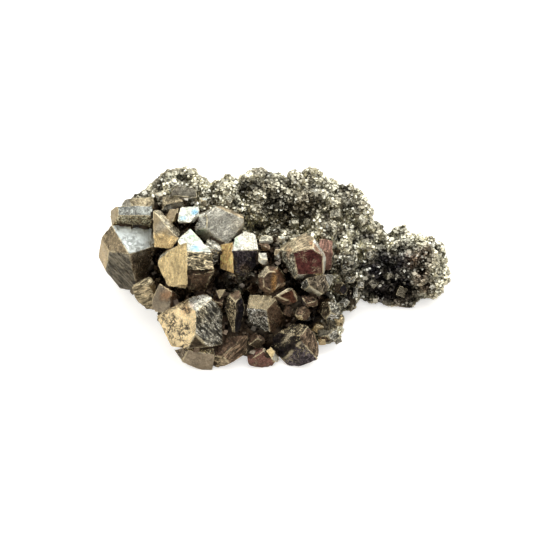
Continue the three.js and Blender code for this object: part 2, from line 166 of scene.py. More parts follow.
# %% Glows in the sky
SKY_BASE = (0.19, 0.176, 0.156)
# Each glow: azimuth (0 is the front, 90 the right), elevation, width in degrees, colour, strength.
GLOWS = [
    (160, 47, 48, (1.0, 1.0, 0.97), 1.95),
    (-88, 26, 50, (1.0, 0.95, 0.86), 1.0),
    (40, 88, 44, (1.0, 0.98, 0.94), 0.5),
    (90, 22, 34, (0.95, 0.97, 1.0), 0.5),
    (-35, -10, 34, (1.0, 0.96, 0.90), 0.35),
    (-20, 52, 8, (1.0, 1.0, 1.0), 5.0),
    (62, 62, 8, (1.0, 1.0, 1.0), 5.0),
    (-130, 46, 8, (1.0, 0.98, 0.95), 5.0),
    (8, 13, 7, (1.0, 0.99, 0.97), 5.0),
    (112, 28, 8, (1.0, 1.0, 1.0), 4.5),
    (-50, 2, 7, (1.0, 0.98, 0.94), 4.5),
]
# The share of a glow that has its full strength, before it fades to its rim.
GLOW_CORE = 0.25


def direction_to(azimuth, elevation):
    around, up = math.radians(azimuth), math.radians(elevation)
    return Vector((math.sin(around) * math.cos(up), -math.cos(around) * math.cos(up), math.sin(up)))


def add_glow(sky, way, light, azimuth, elevation, width, colour, strength):
    """The light so far with one more glow added to it."""
    rim = math.cos(math.radians(width))
    toward = add_node(sky, "ShaderNodeVectorMath", {0: way, 1: direction_to(azimuth, elevation)},
                      operation="DOT_PRODUCT")
    fade = add_node(sky, "ShaderNodeMapRange", {
        "Value": toward.outputs["Value"],
        "From Min": rim,
        "From Max": 1.0 - GLOW_CORE * (1.0 - rim),
        "To Max": strength,
    }, interpolation_type="SMOOTHERSTEP")
    glow = add_node(sky, "ShaderNodeMix", {"Factor": fade.outputs["Result"], "A": light, "B": (*colour, 1)},
                    data_type="RGBA", blend_type="ADD", clamp_factor=False)
    return glow.outputs["Result"]


world = bpy.data.worlds.new("studio")
scene.world = world
world.use_nodes = True
sky = world.node_tree
sky.nodes.clear()
sky_way = add_node(sky, "ShaderNodeTexCoord").outputs["Generated"]
light = add_node(sky, "ShaderNodeRGB").outputs[0]
light.default_value = (*SKY_BASE, 1)
for glow in GLOWS:
    light = add_glow(sky, sky_way, light, *glow)
sky_back = add_node(sky, "ShaderNodeBackground", {"Color": light})
add_node(sky, "ShaderNodeOutputWorld", {"Surface": sky_back.outputs["Background"]})
scene.view_settings.view_transform = "Standard"
print(len(GLOWS), "glows in the sky")

# %% [markdown]
# The floor is a plain pale sheet. The specimen's faces mirror it too, and a sheet as white as the
# photo's ground would turn every downward face white. Its brightness as seen straight is therefore kept
# apart from the dimmer brightness that the metal mirrors, with the Light Path node. Each is a dull
# surface that also shines a little by itself, so that the shadow under the specimen stays pale.

# %% Floor
FLOOR_SIDE = 3.0
FLOOR_SEEN = (0.94, 0.94, 0.935, 1)
FLOOR_LIFT = 0.55
FLOOR_MIRRORED = (0.72, 0.68, 0.62, 1)
FLOOR_BOUNCE = 0.14


def sheet_shader(tree, colour, glow):
    """A dull sheet of one colour that also shines by itself."""
    dull = add_node(tree, "ShaderNodeBsdfDiffuse", {"Color": colour})
    shine = add_node(tree, "ShaderNodeEmission", {"Color": colour, "Strength": glow})
    return add_node(tree, "ShaderNodeAddShader", {0: dull.outputs[0], 1: shine.outputs[0]}).outputs[0]


floor_mesh = bpy.data.meshes.new("floor")
half = FLOOR_SIDE / 2
floor_corners = [(-half, -half, 0), (half, -half, 0), (half, half, 0), (-half, half, 0)]
floor_mesh.from_pydata(floor_corners, [], [(0, 1, 2, 3)])
floor = bpy.data.objects.new("floor", floor_mesh)
scene.collection.objects.link(floor)
paper = bpy.data.materials.new("pale paper")
paper.use_nodes = True
paper_tree = paper.node_tree
paper_tree.nodes.clear()
choice = add_node(paper_tree, "ShaderNodeMixShader", {
    "Fac": add_node(paper_tree, "ShaderNodeLightPath").outputs["Is Camera Ray"],
    1: sheet_shader(paper_tree, FLOOR_MIRRORED, FLOOR_BOUNCE),
    2: sheet_shader(paper_tree, FLOOR_SEEN, FLOOR_LIFT),
})
add_node(paper_tree, "ShaderNodeOutputMaterial", {"Surface": choice.outputs[0]})
floor_mesh.materials.append(paper)
print("floor side, m:", FLOOR_SIDE)

# %% [markdown]
# Soft random hills. Crystal faces are never quite flat and a druse is never quite even, so many steps
# need a smooth random number for each point. This is gradient noise: random slopes on a lattice,
# blended between. Each seed reads another part of the lattice, so hills with different seeds don't
# follow one another.

# %% Smooth noise
LATTICE = 256
SEED_SHIFT = 13.37
# Brings the noise to about -1 to 1.
HILL_GAIN = 1.7

rng = np.random.default_rng(11)
SLOPES = rng.normal(size=(LATTICE, 3))
SLOPES /= np.linalg.norm(SLOPES, axis=1, keepdims=True)
SHUFFLE = rng.permutation(LATTICE)


def hills(points, size, seed=0):
    """Random hills about `size` across, mostly from -1 to 1."""
    spot = np.asarray(points, float) / size + seed * SEED_SHIFT
    cell = np.floor(spot).astype(int)
    local = spot - cell
    ease = local ** 3 * (local * (local * 6 - 15) + 10)
    total = np.zeros(len(spot))
    for corner in itertools.product((0, 1), repeat=3):
        x, y, z = (cell + corner).T % LATTICE
        slope = SLOPES[SHUFFLE[(SHUFFLE[(SHUFFLE[x] + y) % LATTICE] + z) % LATTICE]]
        share = np.prod(np.where(corner, ease, 1 - ease), axis=1)
        total += share * np.sum(slope * (local - corner), axis=1)
    return total * HILL_GAIN


def rough_hills(points, sizes, seed, step):
    """Hills with finer ones on them, half as high."""
    return hills(points, sizes[0], seed) + 0.5 * hills(points, sizes[1], seed + step)


print("hills span:", np.round(np.percentile(hills(rng.uniform(0, 50, (5000, 3)), 3.0), [1, 99]), 2))

# %% [markdown]
# Tones. Fresh pyrite is pale brass, and air turns its faces straw, bronze, plum or nearly black, one face at
# a time. The tones are named once here, as they look under plain white light, and turned into the linear
# numbers that shaders work in. Once given to the faces, the darker and lighter tones are partly that tarnish
# and partly painted shade and light for what each face mirrors.

# %% Tones
TONES = {
    "silver": (220, 220, 210), "steel": (182, 180, 168), "slate": (174, 178, 172), "pearl": (208, 212, 200),
    "pewter": (196, 203, 202), "ash": (120, 116, 104), "smoke": (136, 130, 114), "dove": (140, 130, 114),
    "straw": (208, 198, 172), "cream": (226, 214, 180), "sand": (238, 218, 176), "tan": (206, 188, 152),
    "champagne": (206, 203, 184), "buff": (216, 196, 150), "gold": (212, 188, 140), "gilt": (248, 210, 146),
    "honey": (190, 146, 92), "fawn": (176, 164, 136), "taupe": (162, 150, 132), "bronze": (164, 150, 124),
    "sepia": (130, 112, 94), "umber": (104, 86, 72), "chestnut": (90, 66, 48), "soil": (82, 72, 58),
    "dusk": (84, 54, 42), "garnet": (94, 56, 54), "plum": (128, 96, 88), "rose": (176, 138, 124),
    "rust": (176, 128, 88), "violet": (92, 86, 92), "black": (58, 53, 52), "ink": (44, 42, 48),
    "sky": (150, 196, 222), "mint": (166, 200, 172),
}


def linear(tone):
    """A tone in linear numbers, by the standard rule for screen colours."""
    value = np.array(TONES[tone]) / 255
    return np.where(value <= 0.04045, value / 12.92, ((value + 0.055) / 1.055) ** 2.4)


def paint(tone):
    """A tone as a shader takes it, with full opacity."""
    return (*linear(tone), 1)


def toward_tone(colour, tone, share):
    """Moves a colour towards a tone as the share goes from 0 to 1."""
    return colour * (1 - share) + linear(tone) * share


print(len(TONES), "tones")

# %% [markdown]
# Textures. How a face grew shows as fine parallel ribs, steps, pits or a frosted skin. Each texture
# gives the relief that goes into the mesh, in millimetres, and what the material draws finer than any
# mesh: the roughness, ribs, pits, small tilted cells, cracks and a mottle of dark and light.

# %% Textures
# Each texture: rib relief, pit relief, warp, roughness, fine ribs, fine pits, tilted cells, cracks, mottle.
# Cracks below zero are light lines in place of dark ones, the worn edges of growth steps on a dark face.
TEXTURES = {
    "smooth": (0.00, 0.01, 0.08, 0.20, 0.10, 0.15, 0.20, 0.20, 0.10),
    "frosted": (0.00, 0.03, 0.06, 0.33, 0.05, 0.40, 0.35, 0.35, 0.20),
    "speckled": (0.03, 0.06, 0.09, 0.24, 0.20, 0.55, 0.55, 0.55, 0.35),
    "brushed": (0.05, 0.03, 0.09, 0.22, 0.60, 0.35, 0.45, 0.25, 0.20),
    "etched": (0.03, 0.08, 0.08, 0.20, 0.15, 0.40, 0.80, 0.80, 0.35),
    "ribbed": (0.20, 0.03, 0.08, 0.18, 0.85, 0.30, 0.45, 0.20, 0.20),
    "stepped": (0.14, 0.04, 0.07, 0.18, 0.45, 0.25, 0.60, 0.45, 0.20),
    "wavy": (0.16, 0.05, 0.08, 0.17, 0.85, 0.20, 0.60, -0.35, 0.45),
    "woven": (0.14, 0.06, 0.10, 0.16, 1.00, 0.15, 0.60, -0.50, 0.55),
    "flaked": (0.03, 0.08, 0.14, 0.14, 0.10, 0.15, 0.70, -0.90, 0.85),
    "veined": (0.03, 0.06, 0.10, 0.20, 0.15, 0.30, 0.50, -0.65, 0.35),
    "combed": (0.06, 0.04, 0.08, 0.38, 0.55, 0.25, 0.40, -0.35, 0.30),
    "mottled": (0.04, 0.10, 0.10, 0.19, 0.25, 0.50, 0.85, 0.60, 1.00),
    "glossy": (0.02, 0.04, 0.12, 0.13, 0.12, 0.20, 0.55, 0.30, 0.30),
    "grained": (0.02, 0.03, 0.07, 0.24, 0.30, 0.30, 0.30, 0.30, 0.12),
    "satin": (0.01, 0.02, 0.02, 0.37, 0.06, 0.10, 0.06, 0.30, 0.03),
    "sheen": (0.01, 0.02, 0.07, 0.19, 0.06, 0.12, 0.20, 0.28, 0.08),
    "cracked": (0.03, 0.06, 0.09, 0.22, 0.10, 0.10, 0.30, 1.00, 0.08),
    "scratched": (0.02, 0.03, 0.06, 0.27, 0.40, 0.35, 0.35, 0.50, 0.15),
    "weathered": (0.06, 0.12, 0.14, 0.30, 0.20, 0.50, 0.60, 0.60, 0.45),
}
RELIEF, FINISH, MARKS = slice(0, 3), slice(3, 6), slice(6, 9)
print(len(TEXTURES), "textures")

# %% [markdown]
# The big crystals. Each is the space behind a few flat faces, so a crystal is written down as planes and not
# as points: its top point, how far each facet falls to the right and up from there, and its outline as
# directions and distances. These are the same numbers that the model was built from. Behind them comes each
# facet's finish, as a tone, a texture and the direction in degrees that its ribs run in. A facet's tone is
# partly its tarnish and partly painted light: it was set darker where the face mirrors dim surroundings, as
# the faces that look down do, and lighter where it mirrors the bright window.

# %% Crystal table
# Each crystal: name, top point (u, v, w), depth, facets (slope right, slope up, lift), sides (direction,
# distance), finishes of the facets, finish of the sides.
# The tones in these finishes carry painted shade and light as well as tarnish.
CRYSTALS = [
    ("far_left_block", (-35.2, 3.1, -1.0), 16,
     [(0.34, 0.7, 0), (-0.59, 0.11, 0), (-0.81, -1.35, 0), (0.95, -1.1, 0), (-2.4, -0.9, 9.3)],
     [(95, 7.7), (6, 6.5), (346, 5.7), (322, 6.5), (270, 9.5), (211, 8.35), (156, 9.3), (140, 8.7)],
     ["pewter satin 0", "bronze speckled 30", "ash ribbed -80", "taupe veined 50", "tan smooth 60"],
     "bronze brushed 0"),
    ("left_slab", (-38.2, 13.1, -3.0), 9,
     [(0.1, 0.5, 0), (0.1, -1.2, 0), (-2, 0.23, 0)],
     [(92, 2.6), (0, 9), (190, 2.4), (270, 3.2)],
     ["slate speckled 0", "cream flaked 0", "fawn smooth 80"], "bronze brushed 0"),
    ("left_blade", (-25.0, 10.7, -0.5), 9,
     [(-0.35, 0.1, 0), (0.85, 1.16, -0.9), (-0.42, -0.3, 1.08)],
     [(180, 4.2), (90, 3.5), (41, 1.0), (270, 6.2), (330, 3.5)],
     ["bronze smooth 80", "straw stepped -50", "gold smooth 0"], "bronze brushed 0"),
    ("blade_chip", (-24.0, 13.0, -2.5), 7,
     [(-0.5, 0.3, 0), (0.8, -0.4, 0.6)],
     [(180, 1.8), (90, 2.0), (0, 1.4), (270, 1.8), (135, 1.9)],
     ["bronze smooth 20", "cream smooth 0"], "bronze brushed 0"),
    ("white_cube", (-20.0, 13.2, -1.6), 7,
     [(0.15, 0.7, 0), (1.5, -0.3, 2.6), (0, -1.5, 4.3)],
     [(95, 2.3), (0, 2.8), (180, 2.6), (270, 2.3), (315, 2.5)],
     ["pearl sheen 8", "silver frosted 0", "silver frosted 0"], "bronze smooth 0"),
    ("upper_left_block", (-33.2, 16.5, -8.7), 6,
     [(0.05, 0.5, 0), (-0.7, 0.1, 1.6), (0.6, -0.2, 1.9)],
     [(95, 1.5), (0, 4.1), (180, 4.6), (270, 2.2), (50, 3.5), (140, 3.7)],
     ["fawn weathered 0", "steel weathered 0", "straw speckled 0"], "smoke brushed 0"),
    ("tuft_slab", (-21.4, 18.8, -9.6), 7,
     [(0.25, 0.55, 0), (0.1, -1.1, 1.0)],
     [(90, 2.1), (0, 3.3), (180, 3.6), (238, 2.3), (215, 2.6), (282, 2.2), (140, 3.1), (45, 2.9)],
     ["ash weathered 20", "silver frosted -20"], "smoke brushed 0"),
    ("brown_ledge", (-24.6, 16.4, -8.2), 6,
     [(-0.1, 0.7, 0), (0.2, -0.8, 0), (-0.9, 0.1, 1.5)],
     [(85, 1.8), (0, 3.4), (180, 2.8), (270, 2.2), (40, 2.6)],
     ["fawn weathered 0", "silver weathered 0", "straw speckled 0"], "umber brushed 0"),
    ("tuft_chip", (-28.0, 18.5, -10.0), 4,
     [(0.1, 0.6, 0), (-0.8, -0.3, 0.2), (0.5, -0.7, 0.4)],
     [(90, 0.9), (0, 1.1), (180, 1.5), (270, 0.9)],
     ["steel smooth 0", "silver frosted 0", "silver frosted 0"], "bronze brushed 0"),
    ("top_chip", (-16.3, 17.2, -7.4), 4,
     [(0.15, 0.6, 0), (0.4, -0.8, 0.2), (-0.9, -0.2, 0.5)],
     [(90, 0.8), (0, 1.0), (180, 0.9), (270, 1.6)],
     ["slate smooth 0", "silver frosted 0", "straw smooth 0"], "bronze brushed 0"),
    ("flat_octagon", (-11.0, 11.0, -1.0), 9,
     [(0.1, 0.2, 0), (-0.8, 0.2, 3.9), (-0.7, -0.8, 4.83), (0.66, 1.49, 4.6), (1.35, -0.81, 6.6),
      (-0.9, 1.3, 6.7)],
     [(66, 4.2), (110, 5.0), (180, 7.4), (225, 7.0), (250, 6.2), (321, 5.2), (0, 5.4)],
     ["steel scratched 30", "silver speckled 60", "silver frosted -30", "bronze smooth 0",
      "silver frosted 0", "silver smooth 0"], "bronze brushed 0"),
    ("central_left_face", (-20.3, 1.5, 5.0), 12,
     [(-0.75, 0.05, 0), (-0.5, -1.8, 11.2), (-1.66, 1.24, 7.1)],
     [(0, 0.3), (180, 7.6), (211, 7.4), (265, 7.2), (140, 6.2), (100, 4.5)],
     ["buff grained 85", "sand speckled 0", "silver smooth 0"], "bronze brushed 0"),
    ("central_left_top", (-20.2, 3.7, 5.0), 12,
     [(0.1, 0.85, 0), (0.1, 0.05, 0), (-0.75, 0.05, 0)],
     [(8, 6.1), (37, 4.8), (95, 6.5), (139, 4.1), (180, 2.5), (270, 4.6)],
     ["pearl sheen -50", "fawn woven -12", "buff grained 85"], "bronze brushed 0"),
    ("central_left_step", (-17.0, -2.5, 3.4), 9,
     [(0.45, -0.9, 0), (1.6, -1.4, 3.4), (0.2, 0.6, 0.9)],
     [(270, 4.3), (330, 4.2), (0, 4.0), (250, 4.6), (210, 4.6), (90, 2.2), (180, 3.8)],
     ["umber veined -8", "sepia brushed 0", "umber ribbed -8"], "umber brushed 0"),
    ("striped_wedge", (-13.5, 4.3, 2.4), 7,
     [(0.25, 1.1, 0), (0.2, -0.9, 0), (-0.9, 0, 1.2)],
     [(0, 2.1), (75, 2.6), (180, 2.2), (270, 4.0), (45, 2.2)],
     ["steel wavy -50", "silver wavy -40", "tan smooth 0"], "umber brushed 0"),
    ("gold_side", (-9.6, 3.0, 3.3), 7,
     [(-1.0, 0.1, 0)],
     [(180, 2.3), (0, 1.2), (90, 3.1), (262, 4.2), (215, 3.6)],
     ["gilt combed 60"], "bronze brushed 0"),
    ("middle_block", (-8.5, 4.0, 4.2), 9,
     [(0.25, 0.75, 0), (0.3, -0.55, 0)],
     [(132, 2.6), (65, 6.3), (0, 6.5), (318, 7.0), (232, 4.8), (180, 0.4)],
     ["silver sheen 60", "violet flaked 60"], "umber brushed 0"),
    ("brown_oval", (1.2, -3.6, 4.5), 9,
     [(0.05, -0.15, 0), (0, 0.95, 2.6), (1.0, 0.3, 2.1), (0.9, -0.9, 2.5), (-0.4, -1.2, 2.7),
      (-1.1, -0.2, 2.3), (-0.9, 0.7, 2.6)],
     [(0, 3.7), (45, 3.7), (90, 3.8), (135, 3.7), (180, 3.4), (225, 3.6), (270, 3.7), (315, 3.7)],
     ["umber smooth 80", "umber brushed 0", "chestnut smooth 0", "sepia smooth 0", "umber veined 0",
      "umber veined 80", "straw brushed 60"], "umber brushed 0"),
    ("bright_chip", (-0.8, 2.2, 3.2), 9,
     [(0.2, 0.9, 0), (0.1, -0.6, 0.6), (-0.9, 0.3, 0.8)],
     [(0, 1.1), (90, 1.5), (180, 1.4), (235, 1.7), (270, 2.0)],
     ["steel sheen 40", "silver frosted 40", "silver frosted 0"], "bronze brushed 0"),
    ("upper_chip", (-0.1, 6.9, 0.8), 9,
     [(0.1, 0.9, 0), (0.2, -0.8, 0.5)],
     [(0, 1.9), (90, 1.2), (180, 1.8), (270, 1.3)],
     ["champagne stepped 0", "silver frosted 0"], "bronze brushed 0"),
    ("brown_chip", (-0.6, 5.0, 1.0), 9,
     [(-0.2, -0.5, 0), (0.4, 0.7, 0.3)],
     [(0, 1.6), (90, 1.0), (180, 1.4), (270, 1.1)],
     ["sepia smooth 0", "umber smooth 0"], "umber brushed 0"),
    ("maroon_block", (10.8, 1.2, 4.0), 10,
     [(0.3, -0.45, 0), (0.1, 0.95, 4.3), (1.11, 0.81, 4.8), (-0.97, -0.7, 4.6), (0.3, -1.6, 3.8),
      (1.6, -0.4, 4.7), (-0.5, 0.9, 6.2)],
     [(186, 6.6), (216, 5.6), (271, 4.5), (350, 4.6), (28, 4.6), (49, 5.4), (120, 7.3)],
     ["garnet veined -8", "bronze brushed 40", "silver sheen -50", "champagne mottled 60", "steel brushed 0",
      "silver frosted 80", "fawn brushed 60"], "bronze brushed 0"),
    ("tan_bead", (2.8, 3.1, 2.2), 6,
     [(-0.3, 0.5, 0), (0.7, -0.2, 0), (-0.4, -0.8, 0.3)],
     [(90, 1.4), (0, 1.1), (180, 0.9), (270, 1.6), (225, 1.3), (315, 1.4)],
     ["bronze smooth 80", "silver frosted 80", "silver frosted 80"], "umber brushed 0"),
    ("white_bead", (3.8, 7.0, 1.0), 6,
     [(0.1, 0.7, 0), (0.5, -0.5, 0), (-0.7, -0.2, 0.1)],
     [(90, 0.9), (0, 1.0), (180, 0.9), (270, 1.1), (225, 1.0), (315, 1.0)],
     ["slate smooth 0", "silver frosted 0", "steel smooth 0"], "bronze brushed 0"),
    ("edge_plate", (-8.4, -2.4, 2.0), 5,
     [(0.3, -0.9, 0), (-0.2, 0.8, 0)],
     [(57, 0.35), (237, 0.35), (147, 2.7), (327, 2.7)],
     ["black smooth 0", "smoke smooth 0"], "umber brushed 0"),
    ("corner_block", (16.2, -10.6, -1.4), 7,
     [(-0.6, -0.15, 0), (0.55, 0.15, 0), (0.1, -0.7, 0.9)],
     [(90, 1.7), (30, 2.5), (0, 2.8), (300, 5.0), (270, 4.5), (225, 2.95), (180, 2.8), (150, 2.45)],
     ["soil flaked 0", "steel mottled 40", "silver mottled 0"], "umber mottled 0"),
    ("corner_foot", (16.4, -17.2, -2.6), 6,
     [(-0.25, 0.35, 0), (0.5, -0.5, 0), (-0.1, -0.9, 0.7)],
     [(90, 1.2), (40, 1.9), (0, 2.0), (315, 2.6), (270, 2.4), (200, 3.2), (165, 3.4)],
     ["ash brushed 20", "silver mottled 0", "sepia mottled 0"], "umber brushed 0"),
    ("neck_block", (19.2, -5.6, -6.4), 6,
     [(-0.35, 0.25, 0), (0.6, -0.2, 0), (0, -0.9, 0.8)],
     [(90, 1.6), (45, 1.7), (0, 1.9), (300, 1.9), (250, 1.8), (180, 1.8), (135, 1.8)],
     ["soil speckled 0", "ink glossy 0", "soil speckled 0"], "umber brushed 0"),
    ("neck_chip", (21.6, -3.3, -7.6), 6,
     [(0.1, 0.7, 0), (0.6, -0.4, 0.1), (-0.7, -0.3, 0.3)],
     [(90, 0.8), (0, 1.8), (270, 1.1), (180, 1.3), (320, 1.5)],
     ["silver mottled 0", "silver etched 0", "silver etched 0"], "smoke brushed 0"),
    ("neck_splinter", (23.2, -6.4, -10.6), 5,
     [(0.5, 0.1, 0), (-0.4, 0.3, 0)],
     [(0, 0.9), (180, 0.7), (110, 1.6), (285, 1.7)],
     ["silver etched 80", "silver mottled 80"], "smoke brushed 0"),
    ("red_sliver", (15.8, 4.0, -0.5), 7,
     [(0.9, 0.3, 0), (0.6, -0.7, 0.4)],
     [(0, 1.4), (90, 2.9), (180, 2.5), (270, 5.0)],
     ["rose brushed 70", "plum brushed 70"], "umber brushed 0"),
    ("grey_lobe", (13.0, -4.5, 1.5), 8,
     [(0.35, -0.3, 0), (-0.2, -1.2, 1.6), (1.4, 0, 2.9), (-1.0, -0.6, 3.1)],
     [(106, 2.2), (355, 4.1), (315, 2.9), (270, 4.0), (235, 3.2), (180, 4.4)],
     ["dove mottled 60", "champagne frosted 30", "silver etched 70", "silver mottled -50"],
     "bronze brushed 0"),
    ("brown_bar_block", (5.6, -7.0, 3.0), 9,
     [(0.5, -0.35, 0), (-0.06, 0.82, 1.0), (0.1, -1.3, 1.7), (1.5, 0.1, 1.7)],
     [(126, 1.5), (56, 1.8), (5, 2.4), (300, 2.9), (270, 3.0), (225, 3.1)],
     ["dusk smooth 40", "dove smooth 30", "umber brushed 0", "chestnut smooth 0"], "umber brushed 0"),
    ("lower_middle_block", (0.0, -11.0, 3.5), 10,
     [(-0.35, 0.35, 0), (0.82, -0.75, 0), (-0.47, -0.94, 0)],
     [(85, 3.8), (40, 3.5), (8, 4.6), (320, 6.1), (268, 5.9), (235, 6.6), (194, 5.4), (172, 5.2),
      (149, 5.8)],
     ["fawn grained 70", "umber veined 45", "silver mottled -20"], "bronze brushed 0"),
    ("small_tan_block", (10.8, -9.0, 1.2), 9,
     [(0.1, 0.4, 0), (0.5, -0.9, 0.5), (-0.9, -0.2, 1.0)],
     [(90, 1.6), (55, 1.9), (0, 2.5), (315, 2.3), (270, 1.6), (245, 1.6), (180, 2.4)],
     ["umber mottled 20", "umber veined 0", "black smooth 0"], "umber brushed 0"),
    ("small_brown_block", (9.3, -12.0, 1.5), 9,
     [(-0.3, 0.3, 0), (0.8, -0.6, 0.3), (-0.4, -1.0, 0.9)],
     [(90, 1.9), (40, 1.9), (0, 2.0), (315, 2.1), (270, 1.9), (220, 2.0), (170, 2.0)],
     ["sepia mottled 30", "umber veined 0", "tan brushed 0"], "umber brushed 0"),
    ("lower_right_block", (8.4, -17.5, 2.0), 8,
     [(0.5, 0.15, 0), (-0.74, -0.25, 0), (-0.5, 0.9, -0.4), (-0.35, -0.6, 0.7)],
     [(226, 7.8), (121, 3.4), (95, 3.1), (52, 3.1), (20, 3.9), (358, 5.1), (325, 7.2), (295, 7.8),
      (268, 8.5), (180, 8.6)],
     ["sepia wavy 75", "black flaked 45", "fawn mottled 45", "violet flaked 30"], "bronze brushed 0"),
    ("plum_block", (-1.5, -22.5, -0.5), 6,
     [(0.2, -0.6, 0), (-0.5, 0.5, 0.4), (1.0, 0.2, 1.2)],
     [(90, 1.7), (50, 2.1), (330, 4.4), (270, 3.7), (250, 3.7), (190, 3.6), (150, 3.3)],
     ["plum veined 30", "plum brushed 60", "straw smooth 0"], "umber brushed 0"),
    ("tan_chip", (1.6, -22.6, 0.3), 5,
     [(-0.3, 0.2, 0), (0.9, -0.4, 0.4)],
     [(40, 1.1), (220, 0.9), (135, 2.0), (310, 2.3)],
     ["buff smooth -50", "silver frosted -50"], "bronze brushed 0"),
    ("dark_chip", (-2.6, -19.0, 0.0), 6,
     [(0.3, -0.5, 0), (-0.6, 0.6, 0.5), (0.8, 0.6, 0.8)],
     [(0, 2.3), (60, 2.0), (120, 2.0), (180, 2.2), (240, 1.9), (300, 1.9)],
     ["soil speckled 0", "umber speckled 0", "sepia speckled 0"], "umber brushed 0"),
    ("slim_blade", (-7.8, -9.0, 3.0), 9,
     [(-0.2, 0.4, 0), (0.5, -0.35, 0), (-1.0, -0.3, 0.2)],
     [(85, 3.1), (20, 2.0), (355, 2.6), (268, 8.0), (170, 2.6), (195, 3.2), (130, 2.6)],
     ["umber veined 80", "ink mottled 80", "fawn mottled -75"], "umber brushed 0"),
    ("front_left_block", (-17.8, -12.5, 5.0), 14,
     [(-0.5, 0, 0), (0.75, -0.05, 0), (0.04, 0.85, 1.02), (0.32, -0.46, 2.0), (-0.7, 0.9, 2.7)],
     [(104, 5.2), (45, 6.0), (0, 6.7), (300, 10), (270, 8.3), (210, 9.5), (116, 5.0)],
     ["sand cracked 70", "steel woven -34", "silver sheen -30", "soil brushed 0", "tan speckled 0"],
     "bronze brushed 0"),
    ("front_foot", (-18.0, -22.0, 1.5), 7,
     [(0, -0.8, 0), (-0.9, -0.3, 2.2), (0.3, 0.8, 0.5)],
     [(92, 1.4), (216, 4.5), (244, 3.9), (270, 4.7), (0, 4.8)],
     ["taupe frosted 0", "taupe mottled 0", "sand mottled 0"], "steel frosted 0"),
    ("front_brown_foot", (-9.5, -21.5, 0.8), 7,
     [(0.4, -0.4, 0), (-0.5, 0.6, 0.3), (-0.3, -1.0, 2.0)],
     [(90, 3.6), (0, 4.6), (140, 4.2), (301, 3.1), (265, 5.0), (185, 5.4)],
     ["sepia wavy 40", "umber speckled 50", "bronze wavy 32"], "bronze brushed 0"),
    ("left_lower_wedge", (-31.0, -4.8, -2.0), 9,
     [(-0.3, 0.8, 0), (-0.4, -0.9, 0), (0.8, -0.2, 0.8)],
     [(120, 1.7), (40, 2.4), (0, 2.8), (225, 4.9), (270, 6.5), (180, 3.8), (240, 5.8)],
     ["fawn ribbed 40", "fawn ribbed 30", "bronze smooth 0"], "bronze brushed 0"),
    ("left_lower_block", (-24.2, -7.0, 1.6), 10,
     [(-0.45, -0.1, 0), (1.0, -0.3, 0), (0.1, 0.9, 0.7)],
     [(58, 1.0), (151, 4.1), (182, 5.4), (210, 6.2), (270, 4.9), (345, 2.3)],
     ["dove smooth 70", "umber brushed 50", "tan smooth 0"], "bronze brushed 0"),
    ("tan_triangle", (-11.8, -6.5, 2.5), 9,
     [(-0.3, 0.1, 0)],
     [(90, 0.7), (330, 0.9), (210, 1.0)],
     ["fawn smooth 0"], "umber brushed 0"),
]
print(len(CRYSTALS), "big crystals")

# %% [markdown]
# From planes to a body. A corner is where three planes meet and no other plane cuts it away. The planes
# are first turned from the show face into the resting frame, where the model is.

# %% Planes and corners
SIDE_UNDERCUT = 0.22
SAME_POINT = 1e-4
ON_PLANE = 1e-6
CORNER_SLACK = ON_PLANE * 10


def cut_at_rest(normals, reaches):
    """The same planes and one more, the plane that the specimen rests on."""
    return np.vstack([normals, [0, 0, -1]]), np.append(reaches, 0.0)


def crystal_planes(top, depth, facets, sides):
    """Outward directions of a crystal's planes and how far along them each lies, in the resting frame."""
    summit = np.array(top, float)
    ways = [(right, up, 1) for right, up, _ in facets]
    points = [summit + (0, 0, lift) for _, _, lift in facets]
    for angle, distance in sides:
        right, up = math.cos(math.radians(angle)), math.sin(math.radians(angle))
        fall = min(lift - (sr * right + su * up) * distance for sr, su, lift in facets)
        ways.append((right, up, -SIDE_UNDERCUT))
        points.append(summit + (right * distance, up * distance, fall))
    ways.append((0, 0, -1))
    points.append(summit - (0, 0, depth))
    normals = np.array(ways, float)
    normals /= np.linalg.norm(normals, axis=1, keepdims=True)
    normals = normals @ FACE_AXES
    return cut_at_rest(normals, np.sum(normals * face_to_rest(points), axis=1))


def corners_of(normals, reaches):
    found = []
    for trio in itertools.combinations(range(len(normals)), 3):
        trio = list(trio)
        if abs(np.linalg.det(normals[trio])) < ON_PLANE:
            continue
        corner = np.linalg.solve(normals[trio], reaches[trio])
        if np.all(normals @ corner <= reaches + CORNER_SLACK):
            if not any(np.linalg.norm(corner - other) < SAME_POINT for other in found):
                found.append(corner)
    return np.array(found)


bodies = {row[0]: crystal_planes(*row[1:5]) for row in CRYSTALS}
first_name = CRYSTALS[0][0]
first_corners = corners_of(*bodies[first_name])
print(len(first_corners), "corners on", first_name)

# %% [markdown]
# From a body to a fine mesh. Each flat face gets points along its rim and a grid inside, joined to a
# net of triangles that are as even as the points allow. Faces that meet share their rim points, so the
# mesh is closed and its edges run exactly where the crystal's do, which no remesher would manage. Sides
# that are mostly buried get a coarser grid.

# %% Fine mesh of one crystal
FACET_GRID = 0.34
SIDE_GRID = 0.6
# Rows of the grid lie this share of a step apart, which makes its triangles nearly equal-sided.
ROW_STEP = 0.87
# Grid points stay this share of a step inside the rim.
RIM_CLEARANCE = 0.45
# Where a plane is square to the ribs' direction, another direction stands in for it.
SHORTEST_RUN = 0.05
SPARE_RUN = (0.3, 0.5, 0.8)
# The net keeps only the triangles inside the rim.
NET_INSIDE = 1


